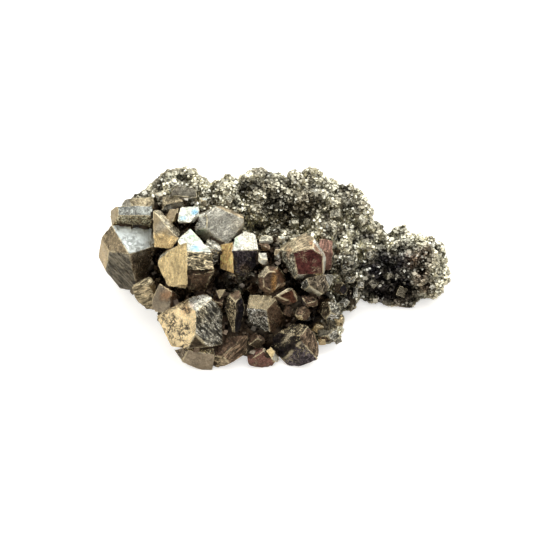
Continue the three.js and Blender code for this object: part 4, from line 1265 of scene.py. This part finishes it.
# Painted shade in the crevices and beside the big crystals, black to umber in patches, mixed into the tone.
crevice_shade_tone = np.clip(0.5 + CREVICE_SHADE_GAIN * hills(skin, CREVICE_SHADE_SIZE, CREVICE_SHADE_SEED), 0, 1)[:, None]
crevice_shade_tone = toward_tone(linear("black"), "umber", crevice_shade_tone)
tone_values = np.ones((len(skin), 4))
tone_values[:, :3] = skin_tone_and_shade * (1 - shaded) + crevice_shade_tone * shaded
skin_mesh.color_attributes.new("tone", "FLOAT_COLOR", "POINT").data.foreach_set("color", tone_values.ravel())
uncovered = np.clip((clear - DRUSE_CLEARANCE) / DRUSE_FADE, 0, 1)
open_druse = uncovered * np.clip(1 - CREVICE_BARE * crevice, 0, 1)
open_druse[open_druse < OPEN_LEAST] = 0
in_gaps = uncovered * (crevice > GAP_LEAST)
skin_mesh.attributes.new("open", "FLOAT", "POINT").data.foreach_set("value", open_druse)
skin_mesh.attributes.new("gap", "FLOAT", "POINT").data.foreach_set("value", in_gaps)
print("of", len(skin), "points,", int((open_druse > 0).sum()), "lie under open druse")

# %% [markdown]
# One grain of the druse. Under a loupe a grain is a tiny cube with uneven corners. One cube with one
# corner cut off is enough, because thousands of copies turned at random never look alike, and it takes
# only few triangles.

# %% Grain
GRAIN_CUT = 0.35


def grain_object():
    """A cube of 1 mm to each side of its middle, with one corner cut off."""
    grain_bmesh = bmesh.new()
    bmesh.ops.create_cube(grain_bmesh, size=2 * MM)
    grain_bmesh.verts.ensure_lookup_table()
    bmesh.ops.bevel(grain_bmesh, geom=grain_bmesh.verts[:1], offset=2 * GRAIN_CUT * MM, affect="VERTICES")
    bmesh.ops.triangulate(grain_bmesh, faces=grain_bmesh.faces[:])
    mesh = bpy.data.meshes.new("grain")
    grain_bmesh.to_mesh(mesh)
    grain_bmesh.free()
    grain = bpy.data.objects.new("grain", mesh)
    scene.collection.objects.link(grain)
    return grain


grain = grain_object()
print("one grain:", len(grain.data.polygons), "triangles")

# %% [markdown]
# The druse. Thousands of crystals under a millimetre wide stand on the mass, each turned its own way,
# and their faces make the glitter. Geometry Nodes suits this: points are scattered on the skin at a
# smallest spacing, a grain is put on each, and sizes and turns are random from a fixed seed. Grains
# that would reach below the base are flattened onto it. The instances are realized at the end because
# an exported model drops them.

# %% Druse tree
GRAIN_INPUTS = [
    ("Skin", "Geometry", None), ("Grain", "Object", None), ("Where", "String", "open"),
    ("Spacing", "Float", 0.36 * MM), ("Density", "Float", 2.0e7),
    ("Smallest", "Float", 0.16), ("Largest", "Float", 0.36), ("Lightest", "Float", 1.0),
    ("From X", "Float", -1.0), ("To X", "Float", 1.0), ("Seed", "Int", 3), ("Finish", "Material", None),
]


def random_node(tree, seed, least, most):
    """A random number for each grain. The plain numbers' ends are the third and fourth inputs."""
    return add_node(tree, "FunctionNodeRandomValue", {2: least, 3: most, "Seed": seed}).outputs[1]


def druse_tree():
    tree, given = new_group("druse", "GeometryNodeTree", GRAIN_INPUTS, [("Druse", "Geometry")])
    place = add_node(tree, "GeometryNodeInputPosition").outputs[0]
    apart = add_node(tree, "ShaderNodeSeparateXYZ", {0: place}).outputs
    after = math_node(tree, "GREATER_THAN", apart["X"], given["From X"])
    before = math_node(tree, "LESS_THAN", apart["X"], given["To X"])
    bare = add_node(tree, "GeometryNodeInputNamedAttribute", {"Name": given["Where"]}, data_type="FLOAT")
    scatter = add_node(tree, "GeometryNodeDistributePointsOnFaces", {
        "Mesh": given["Skin"],
        "Distance Min": given["Spacing"],
        "Density Max": given["Density"],
        "Density Factor": times(tree, bare.outputs["Attribute"], times(tree, after, before)),
        "Seed": given["Seed"],
    }, distribute_method="POISSON")
    turn = add_node(tree, "FunctionNodeRandomValue", {"Max": (math.tau,) * 3, "Seed": given["Seed"]},
                    data_type="FLOAT_VECTOR")
    stand = add_node(tree, "GeometryNodeInstanceOnPoints", {
        "Points": scatter.outputs["Points"],
        "Instance": add_node(tree, "GeometryNodeObjectInfo", {"Object": given["Grain"]}).outputs["Geometry"],
        "Rotation": turn.outputs[0],
        "Scale": random_node(tree, given["Seed"], given["Smallest"], given["Largest"]),
    })
    shade = add_node(tree, "GeometryNodeStoreNamedAttribute", {
        "Geometry": stand.outputs["Instances"],
        "Name": "shade",
        "Value": random_node(tree, given["Seed"], 0.0, given["Lightest"]),
    }, data_type="FLOAT", domain="INSTANCE")
    real = add_node(tree, "GeometryNodeRealizeInstances", {"Geometry": shade.outputs["Geometry"]})
    raised = math_node(tree, "MAXIMUM", apart["Z"], 0.0)
    above = add_node(tree, "ShaderNodeCombineXYZ", {"X": apart["X"], "Y": apart["Y"], "Z": raised})
    rest = add_node(tree, "GeometryNodeSetPosition", {
        "Geometry": real.outputs["Geometry"],
        "Position": above.outputs["Vector"],
    })
    dress = add_node(tree, "GeometryNodeSetMaterial", {
        "Geometry": rest.outputs["Geometry"],
        "Material": given["Finish"],
    })
    add_node(tree, "NodeGroupOutput", {"Druse": dress.outputs["Geometry"]})
    return tree


druse_nodes = druse_tree()
print("druse tree:", len(druse_nodes.nodes), "nodes")

# %% [markdown]
# Helpers for finishes. Every finish here is built from the same few nodes: noise, a smooth step from
# one value to another, and mixes of colours and of numbers. Each helper adds one such node and gives
# back its output, so that a finish can be read as a sum of its parts.

# %% Shader helpers
NOISE_DETAIL = 3.0
NOISE_ROUGH = 0.55


def ramp_node(tree, value, low, high, to_low=0.0, to_high=1.0):
    """A smooth step: `to_low` where the value is at `low`, and `to_high` where it is at `high`."""
    ends = {"Value": value, "From Min": low, "From Max": high, "To Min": to_low, "To Max": to_high}
    return add_node(tree, "ShaderNodeMapRange", ends, interpolation_type="SMOOTHSTEP").outputs["Result"]


def mix_node(tree, share, first, second, blend="MIX"):
    """A mix of two colours."""
    ends = {"Factor": share, "A": first, "B": second}
    return add_node(tree, "ShaderNodeMix", ends, data_type="RGBA", blend_type=blend).outputs["Result"]


def blend_node(tree, share, first, second):
    """A mix of two numbers, which are the node's third and fourth inputs."""
    return add_node(tree, "ShaderNodeMix", {0: share, 2: first, 3: second}).outputs["Result"]


def noise_node(tree, vector, scale, detail=NOISE_DETAIL, rough=NOISE_ROUGH, distortion=0.0):
    ends = {"Vector": vector, "Scale": scale, "Detail": detail, "Roughness": rough, "Distortion": distortion}
    return add_node(tree, "ShaderNodeTexNoise", ends).outputs["Fac"]


def grey_node(tree, value):
    channels = {"Red": value, "Green": value, "Blue": value}
    return add_node(tree, "ShaderNodeCombineColor", channels).outputs["Color"]


def vector_node(tree, operation, first, second):
    node = add_node(tree, "ShaderNodeVectorMath", {0: first, 1: second}, operation=operation)
    return node.outputs["Value" if operation == "DOT_PRODUCT" else "Vector"]


def place_group(tree, group, **values):
    return add_node(tree, "ShaderNodeGroup", values, node_tree=group).outputs


print("noise detail and roughness unless said otherwise:", NOISE_DETAIL, NOISE_ROUGH)

# %% [markdown]
# Clouds and specks. Tarnish lies on a face in clouds a few millimetres wide, and where a face is pitted
# it has small dark specks. Both come back in every finish, so each is a node group with its own inputs.
# Groups give out colours, masks and heights alone, and the metal shader stays in each material.

# %% Clouds and specks
def tarnish_clouds():
    """Lightens and darkens a tone in clouds and lets a second tone through in some of them."""
    group, given = new_group(
        "tarnish clouds", "ShaderNodeTree",
        [("Vector", "Vector", None), ("Tone", "Color", (0.6, 0.6, 0.5, 1)),
         ("Tarnish", "Color", (0.4, 0.3, 0.2, 1)), ("Scale", "Float", 300.0), ("Depth", "Float", 0.25),
         ("Amount", "Float", 0.3)],
        [("Color", "Color")])
    broad = noise_node(group, given["Vector"], given["Scale"], detail=4.0, rough=0.6)
    light = times(group, math_node(group, "SUBTRACT", broad, 0.5), given["Depth"])
    factor = plus(group, times(group, light, 4.0), 1.0)
    varied = mix_node(group, 1.0, given["Tone"], grey_node(group, factor), "MULTIPLY")
    finer = noise_node(group, given["Vector"], times(group, given["Scale"], 2.3), detail=5.0, rough=0.65)
    share = times(group, ramp_node(group, finer, 0.5, 0.72), given["Amount"])
    add_node(group, "NodeGroupOutput", {"Color": mix_node(group, share, varied, given["Tarnish"])})
    return group


def dark_specks():
    """A mask of small ragged specks, more of them as Amount grows."""
    group, given = new_group(
        "dark specks", "ShaderNodeTree",
        [("Vector", "Vector", None), ("Scale", "Float", 1.8), ("Amount", "Float", 0.5)],
        [("Mask", "Float")])
    speck = noise_node(group, given["Vector"], given["Scale"], detail=6.0, rough=0.75, distortion=0.6)
    edge = math_node(group, "SUBTRACT", 0.74, times(group, given["Amount"], 0.20))
    add_node(group, "NodeGroupOutput", {"Mask": ramp_node(group, speck, edge, plus(group, edge, 0.05))})
    return group


CLOUDS, SPECKS = tarnish_clouds(), dark_specks()
print("groups:", CLOUDS.name, SPECKS.name, sep=", ")

# %% [markdown]
# Cells and mottle. An etched face is made of small flat cells that lean each its own way, and each flashes
# by itself. Blender's cell texture gives such cells: the way from a cell's middle, multiplied by the cell's
# own random lean, is a height that tilts the whole cell. The cell's random number also paints each cell's
# flash, lighter or darker, into the colour of the face. A mottle is coarser, a jumble of dark and light
# patches.

# %% Cells and mottle
def tilted_cells():
    """Small flat cells, each leaning its own way. Luck is one random number for each cell."""
    group, given = new_group(
        "tilted cells", "ShaderNodeTree",
        [("Vector", "Vector", None), ("Scale", "Float", 1.0)],
        [("Height", "Float"), ("Luck", "Float")])
    spot = vector_node(group, "MULTIPLY", given["Vector"], given["Scale"])
    cells = add_node(group, "ShaderNodeTexVoronoi", {"Scale": 1.0, "Vector": spot}).outputs
    offset = vector_node(group, "SUBTRACT", spot, cells["Position"])
    lean = vector_node(group, "SUBTRACT", cells["Color"], (0.5, 0.5, 0.5))
    apart = add_node(group, "ShaderNodeSeparateColor", {"Color": cells["Color"]}).outputs
    height = vector_node(group, "DOT_PRODUCT", offset, lean)
    add_node(group, "NodeGroupOutput", {"Height": height, "Luck": apart["Green"]})
    return group


def mottle_patches():
    """A jumble of dark and light patches a millimetre wide, as a factor for the tone and as a height."""
    group, given = new_group(
        "mottle", "ShaderNodeTree",
        [("Vector", "Vector", None), ("Scale", "Float", 1.2)],
        [("Factor", "Float"), ("Height", "Float")])
    jumble = noise_node(group, given["Vector"], given["Scale"], detail=6.0, rough=0.68, distortion=1.2)
    factor = ramp_node(group, jumble, 0.43, 0.60, to_low=0.14, to_high=1.7)
    add_node(group, "NodeGroupOutput", {"Factor": factor, "Height": times(group, jumble, 2.0)})
    return group


CELLS, MOTTLE = tilted_cells(), mottle_patches()
print("groups:", CELLS.name, MOTTLE.name, sep=", ")

# %% [markdown]
# Cracks and grooves. A crack winds over a face where slow noise crosses its middle value, which draws a
# thin line and no patch. The same lines drawn light stand for the worn edges of growth steps on a dark
# face. Grooves are noise drawn out along a face's ribs.

# %% Cracks and grooves
def thin_cracks():
    """A mask of thin winding lines that come in patches, for dark cracks and for light veins."""
    group, given = new_group(
        "thin cracks", "ShaderNodeTree",
        [("Vector", "Vector", None), ("Scale", "Float", 0.8), ("Width", "Float", 0.03),
         ("Bare", "Float", 0.4)],
        [("Mask", "Float")])
    vein = noise_node(group, given["Vector"], given["Scale"], detail=4.0, rough=0.6, distortion=0.9)
    away = math_node(group, "ABSOLUTE", math_node(group, "SUBTRACT", vein, 0.5), 0.5)
    line = ramp_node(group, away, given["Width"], 0.0)
    wide = times(group, given["Scale"], 0.45)
    patches = noise_node(group, given["Vector"], wide, detail=2.0, rough=0.5)
    patch = ramp_node(group, patches, given["Bare"], plus(group, given["Bare"], 0.12))
    add_node(group, "NodeGroupOutput", {"Mask": times(group, line, patch)})
    return group


def fine_grooves():
    """Long thin ridges along the first direction of the vector, with waviness and breaks."""
    group, given = new_group(
        "fine grooves", "ShaderNodeTree",
        [("Vector", "Vector", None), ("Along", "Float", 0.3), ("Across", "Float", 1.3)],
        [("Height", "Float")])
    stretch = add_node(group, "ShaderNodeCombineXYZ", {"X": given["Along"], "Y": given["Across"], "Z": 1.0})
    drawn = vector_node(group, "MULTIPLY", given["Vector"], stretch.outputs["Vector"])
    height = noise_node(group, drawn, 1.0, detail=5.0, rough=0.60, distortion=0.8)
    add_node(group, "NodeGroupOutput", {"Height": height})
    return group


CRACKS, GROOVES = thin_cracks(), fine_grooves()
print("groups:", CRACKS.name, GROOVES.name, sep=", ")

# %% [markdown]
# What a face is made of. The mesh says for each point how rough, ribbed, pitted, leaning, cracked and
# mottled its face is. The groups are laid on the face along its ribs, in millimetres, and each is as
# strong as the mesh says. Cracks above zero are dark cracks, and below zero light veins.

# %% Patterns on a face
def start_material(name):
    material = bpy.data.materials.new(name)
    material.use_nodes = True
    shader = material.node_tree.nodes["Principled BSDF"]
    shader.inputs["Metallic"].default_value = 1.0
    return material, material.node_tree, shader


def attribute_node(tree, name):
    return add_node(tree, "ShaderNodeAttribute", attribute_name=name).outputs


def face_values(tree):
    """What the mesh says about a point of a face, by name."""
    finish = add_node(tree, "ShaderNodeSeparateXYZ", {0: attribute_node(tree, "finish")["Vector"]}).outputs
    marks = add_node(tree, "ShaderNodeSeparateXYZ", {0: attribute_node(tree, "marks")["Vector"]}).outputs
    return dict(zip(("rough", "ribs", "pits", "lean", "cracked", "mottle"), [*finish, *marks]))


def face_patterns(tree, flat, face):
    cracks = place_group(tree, CRACKS, Vector=flat, Scale=0.62, Width=0.07)["Mask"]
    veins = place_group(tree, CRACKS, Vector=flat, Scale=0.55, Width=0.028, Bare=0.47)["Mask"]
    return {
        "specks": place_group(tree, SPECKS, Vector=flat, Scale=1.3, Amount=face["pits"])["Mask"],
        "grooves": place_group(tree, GROOVES, Vector=flat, Along=0.42, Across=1.75)["Height"],
        "cells": place_group(tree, CELLS, Vector=flat, Scale=0.95),
        "small cells": place_group(tree, CELLS, Vector=flat, Scale=2.1),
        "mottle": place_group(tree, MOTTLE, Vector=flat, Scale=1.25),
        "cracks": math_node(tree, "MULTIPLY", cracks, face["cracked"], clamp=True),
        "veins": math_node(tree, "MULTIPLY", veins, times(tree, face["cracked"], -1.0), clamp=True),
    }


print("numbers in a texture:", len(TEXTURES["smooth"]))

# %% [markdown]
# The colour of a face. The face's own tone goes through the clouds. Then its cells and its streaks along the
# ribs lighten and darken it as painted flashes, the light and shade that tilted cells and ribs catch, and
# its mottle lightens and darkens it as tarnish. Dark specks and cracks, light veins and light edges are laid
# over that, one after another, as on the real crystal. The light edges are partly wear and partly a painted
# edge highlight.

# %% Colour of a face
CELL_FLASH = 0.55
STREAK_POWER = 1.6
SPECK_DARK = 0.75


def painted_flashes_and_mottle(tree, face, pattern):
    """How light each spot is: the painted flashes of its cells and of its streaks along the ribs, and its
    mottle, multiplied.
    """
    # Painted flashes: each tilted cell and each streak along the ribs is made lighter or darker in the
    # colour, as if it caught the light or missed it.
    spread = times(tree, math_node(tree, "SUBTRACT", pattern["cells"]["Luck"], 0.5), face["lean"])
    cell_flashes = plus(tree, times(tree, spread, CELL_FLASH), 1.0)
    streak_flashes = ramp_node(tree, pattern["grooves"], 0.44, 0.58, to_low=0.15, to_high=1.8)
    striped_flashes = blend_node(tree, math_node(tree, "POWER", face["ribs"], STREAK_POWER), 1.0, streak_flashes)
    blotched = blend_node(tree, face["mottle"], 1.0, pattern["mottle"]["Factor"])
    return times(tree, times(tree, cell_flashes, striped_flashes), blotched)


def face_colour(tree, where, face, pattern):
    clouds = place_group(tree, CLOUDS, Vector=where, Tone=attribute_node(tree, "tone")["Color"],
                         Tarnish=paint("sepia"), Scale=260.0, Depth=0.36, Amount=0.25)
    light = grey_node(tree, painted_flashes_and_mottle(tree, face, pattern))
    colour = mix_node(tree, 1.0, clouds["Color"], light, "MULTIPLY")
    # Light edges, partly wear and partly a painted edge highlight, broken up by noise.
    worn = ramp_node(tree, noise_node(tree, where, 420.0), 0.42, 0.56)
    rubbed_edge_highlight = ramp_node(tree, attribute_node(tree, "rim")["Fac"], 0.65, 0.88, to_low=0.0, to_high=0.65)
    layers = [
        (times(tree, pattern["specks"], SPECK_DARK), "soil"),
        (pattern["cracks"], "black"),
        (pattern["veins"], "cream"),
        (times(tree, worn, rubbed_edge_highlight), "cream"),
    ]
    for share, tone in layers:
        colour = mix_node(tree, share, colour, paint(tone))
    return colour


print("shares of the cells, of the specks:", CELL_FLASH, SPECK_DARK)

# %% [markdown]
# The relief of a face finer than its mesh. Grooves, cells, specks, cracks and a fine frost go into one
# height, and a bump made from it breaks up the mirror image. That is what makes a ribbed pyrite face
# flash in stripes. A displacement would need millions of triangles for the same.

# %% Crystal face material
# Heights of the patterns, as shares of the bump's distance. Below zero they go in.
GROOVE_HEIGHT = 1.9
CELL_HEIGHT = 2.4
SMALL_CELL_HEIGHT = 1.2
SPECK_HEIGHT = -0.5
CRACK_HEIGHT = -0.8
VEIN_HEIGHT = 0.8
FROST_HEIGHT = 0.8
FROST_LEAST = 0.05
FACE_BUMP = 0.18 * MM
SPECK_DULLNESS = 0.25


def face_height(tree, flat, face, pattern):
    cells = times(tree, pattern["cells"]["Height"], CELL_HEIGHT)
    small_cells = times(tree, pattern["small cells"]["Height"], SMALL_CELL_HEIGHT)
    frosted = plus(tree, times(tree, face["lean"], FROST_HEIGHT), FROST_LEAST)
    return plus(
        tree,
        times(tree, pattern["grooves"], times(tree, face["ribs"], GROOVE_HEIGHT)),
        times(tree, plus(tree, cells, small_cells), face["lean"]),
        times(tree, pattern["specks"], SPECK_HEIGHT),
        times(tree, pattern["cracks"], CRACK_HEIGHT),
        times(tree, pattern["veins"], VEIN_HEIGHT),
        times(tree, pattern["mottle"]["Height"], face["mottle"]),
        times(tree, noise_node(tree, flat, 3.5, detail=4.0, rough=0.7), frosted),
    )


def bump_node(tree, height, distance):
    return add_node(tree, "ShaderNodeBump", {"Distance": distance, "Height": height}).outputs["Normal"]


def crystal_material():
    material, tree, shader = start_material("pyrite face")
    where = add_node(tree, "ShaderNodeTexCoord").outputs["Object"]
    flat = add_node(tree, "ShaderNodeUVMap", uv_map="ribs").outputs["UV"]
    face = face_values(tree)
    pattern = face_patterns(tree, flat, face)
    feed(tree, shader.inputs["Base Color"], face_colour(tree, where, face, pattern))
    uneven = ramp_node(tree, noise_node(tree, where, 900.0), 0.3, 0.7, to_low=-0.06, to_high=0.08)
    dull_specks = times(tree, pattern["specks"], SPECK_DULLNESS)
    dull = math_node(tree, "ADD", plus(tree, face["rough"], uneven), dull_specks, clamp=True)
    feed(tree, shader.inputs["Roughness"], dull)
    feed(tree, shader.inputs["Normal"], bump_node(tree, face_height(tree, flat, face, pattern), FACE_BUMP))
    return material


face_material = crystal_material()
for piece in crystal_pieces:
    piece.data.materials.append(face_material)
print("material:", face_material.name)

# %% [markdown]
# The druse and the mass. A grain takes the tone of the spot it stands on, with the painted shade of hollows
# and crevices in it and with its own lightness, and the luckiest few are fresh and silvery. The mass between
# the grains is the same tone with more painted shade, darker and duller, because light hardly gets in there.

# %% Druse and mass materials
DRUSE_BUMP = 0.06 * MM
MASS_BUMP = 0.3 * MM
MASS_SHADE = (0.38, 0.35, 0.32, 1)
MASS_ROUGHNESS = 0.5
MASS_SPECK_DULLNESS = 0.2


def druse_material():
    material, tree, shader = start_material("pyrite druse")
    where = add_node(tree, "ShaderNodeTexCoord").outputs["Object"]
    clouds = place_group(tree, CLOUDS, Vector=where, Tone=attribute_node(tree, "tone")["Color"],
                         Tarnish=paint("smoke"), Scale=420.0, Depth=0.25, Amount=0.35)
    shade = attribute_node(tree, "shade")["Fac"]
    luck = ramp_node(tree, shade, 0.0, 1.0, to_low=0.22, to_high=1.2)
    colour = mix_node(tree, 1.0, clouds["Color"], grey_node(tree, luck), "MULTIPLY")
    fresh = ramp_node(tree, shade, 0.93, 0.96, to_low=0.0, to_high=0.6)
    feed(tree, shader.inputs["Base Color"], mix_node(tree, fresh, colour, paint("silver")))
    dull = ramp_node(tree, noise_node(tree, where, 700.0), 0.3, 0.7, to_low=0.13, to_high=0.34)
    feed(tree, shader.inputs["Roughness"], dull)
    feed(tree, shader.inputs["Normal"], bump_node(tree, noise_node(tree, where, 2600.0), DRUSE_BUMP))
    return material


def mass_material():
    material, tree, shader = start_material("dark mass")
    where = add_node(tree, "ShaderNodeTexCoord").outputs["Object"]
    # Painted shade: the mass is the skin's tone darkened further.
    shadow = mix_node(tree, 1.0, attribute_node(tree, "tone")["Color"], MASS_SHADE, "MULTIPLY")
    clouds = place_group(tree, CLOUDS, Vector=where, Tone=shadow, Tarnish=paint("soil"), Scale=500.0,
                         Depth=0.35, Amount=0.5)
    feed(tree, shader.inputs["Base Color"], clouds["Color"])
    specks = place_group(tree, SPECKS, Vector=where, Scale=900.0, Amount=0.8)["Mask"]
    dull = plus(tree, times(tree, specks, MASS_SPECK_DULLNESS), MASS_ROUGHNESS)
    feed(tree, shader.inputs["Roughness"], dull)
    rough = noise_node(tree, where, 1500.0, detail=5.0, rough=0.65)
    feed(tree, shader.inputs["Normal"], bump_node(tree, rough, MASS_BUMP))
    return material


druse_finish, mass_finish = druse_material(), mass_material()
mass.data.materials.clear()
mass.data.materials.append(mass_finish)
mass.data.shade_smooth()
print("materials:", druse_finish.name, mass_finish.name, sep=", ")

# %% [markdown]
# Growing the druse. The tree runs on the mass in strips along X, so that no piece becomes too heavy,
# then with fewer, larger crystals, and last in the crevices between the big crystals. Each result is
# made a plain mesh.

# %% Run the druse tree
# Each strip: name, and where it starts and ends along X, mm.
STRIPS = [("druse_left", -60, -22), ("druse_middle", -22, -2), ("druse_right", -2, 18),
          ("druse_arm", 18, 60)]


def scatter_druse(name, **values):
    carrier = bpy.data.objects.new("carrier", mass.data)
    scene.collection.objects.link(carrier)
    grow_modifier = carrier.modifiers.new("druse", "NODES")
    grow_modifier.node_group = druse_nodes
    items = druse_nodes.interface.items_tree
    sockets = {item.name: item.identifier for item in items if item.in_out == "INPUT"}
    for label, value in {"Grain": grain, "Finish": druse_finish, **values}.items():
        grow_modifier[sockets[label]] = value
    mesh = bpy.data.meshes.new_from_object(carrier.evaluated_get(bpy.context.evaluated_depsgraph_get()))
    bpy.data.objects.remove(carrier)
    mesh.name = name
    piece = bpy.data.objects.new(name, mesh)
    scene.collection.objects.link(piece)
    print(name, len(mesh.polygons), "triangles")
    return piece


druse_pieces = [scatter_druse(name, **{"From X": low * MM, "To X": high * MM}) for name, low, high in STRIPS]
druse_pieces.append(scatter_druse("coarse_druse", Spacing=1.8 * MM, Density=2.5e5, Smallest=0.35,
                                  Largest=0.62, Seed=8))
druse_pieces.append(scatter_druse("gap_druse", Where="gap", Spacing=0.9 * MM, Density=2e6, Smallest=0.35,
                                  Largest=0.7, Lightest=0.9, Seed=5))
bpy.data.objects.remove(grain)

# %% [markdown]
# Joining up. Every piece rides on the model's one body, and the mass stands for the model's solid, which is
# hidden.

# %% Ride, hide and count
pieces = [mass, *crystal_pieces, *druse_pieces]
for piece in pieces:
    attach(piece, "root")
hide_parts(CLUSTER)
print("polygons in all:", sum(len(piece.data.polygons) for piece in pieces))
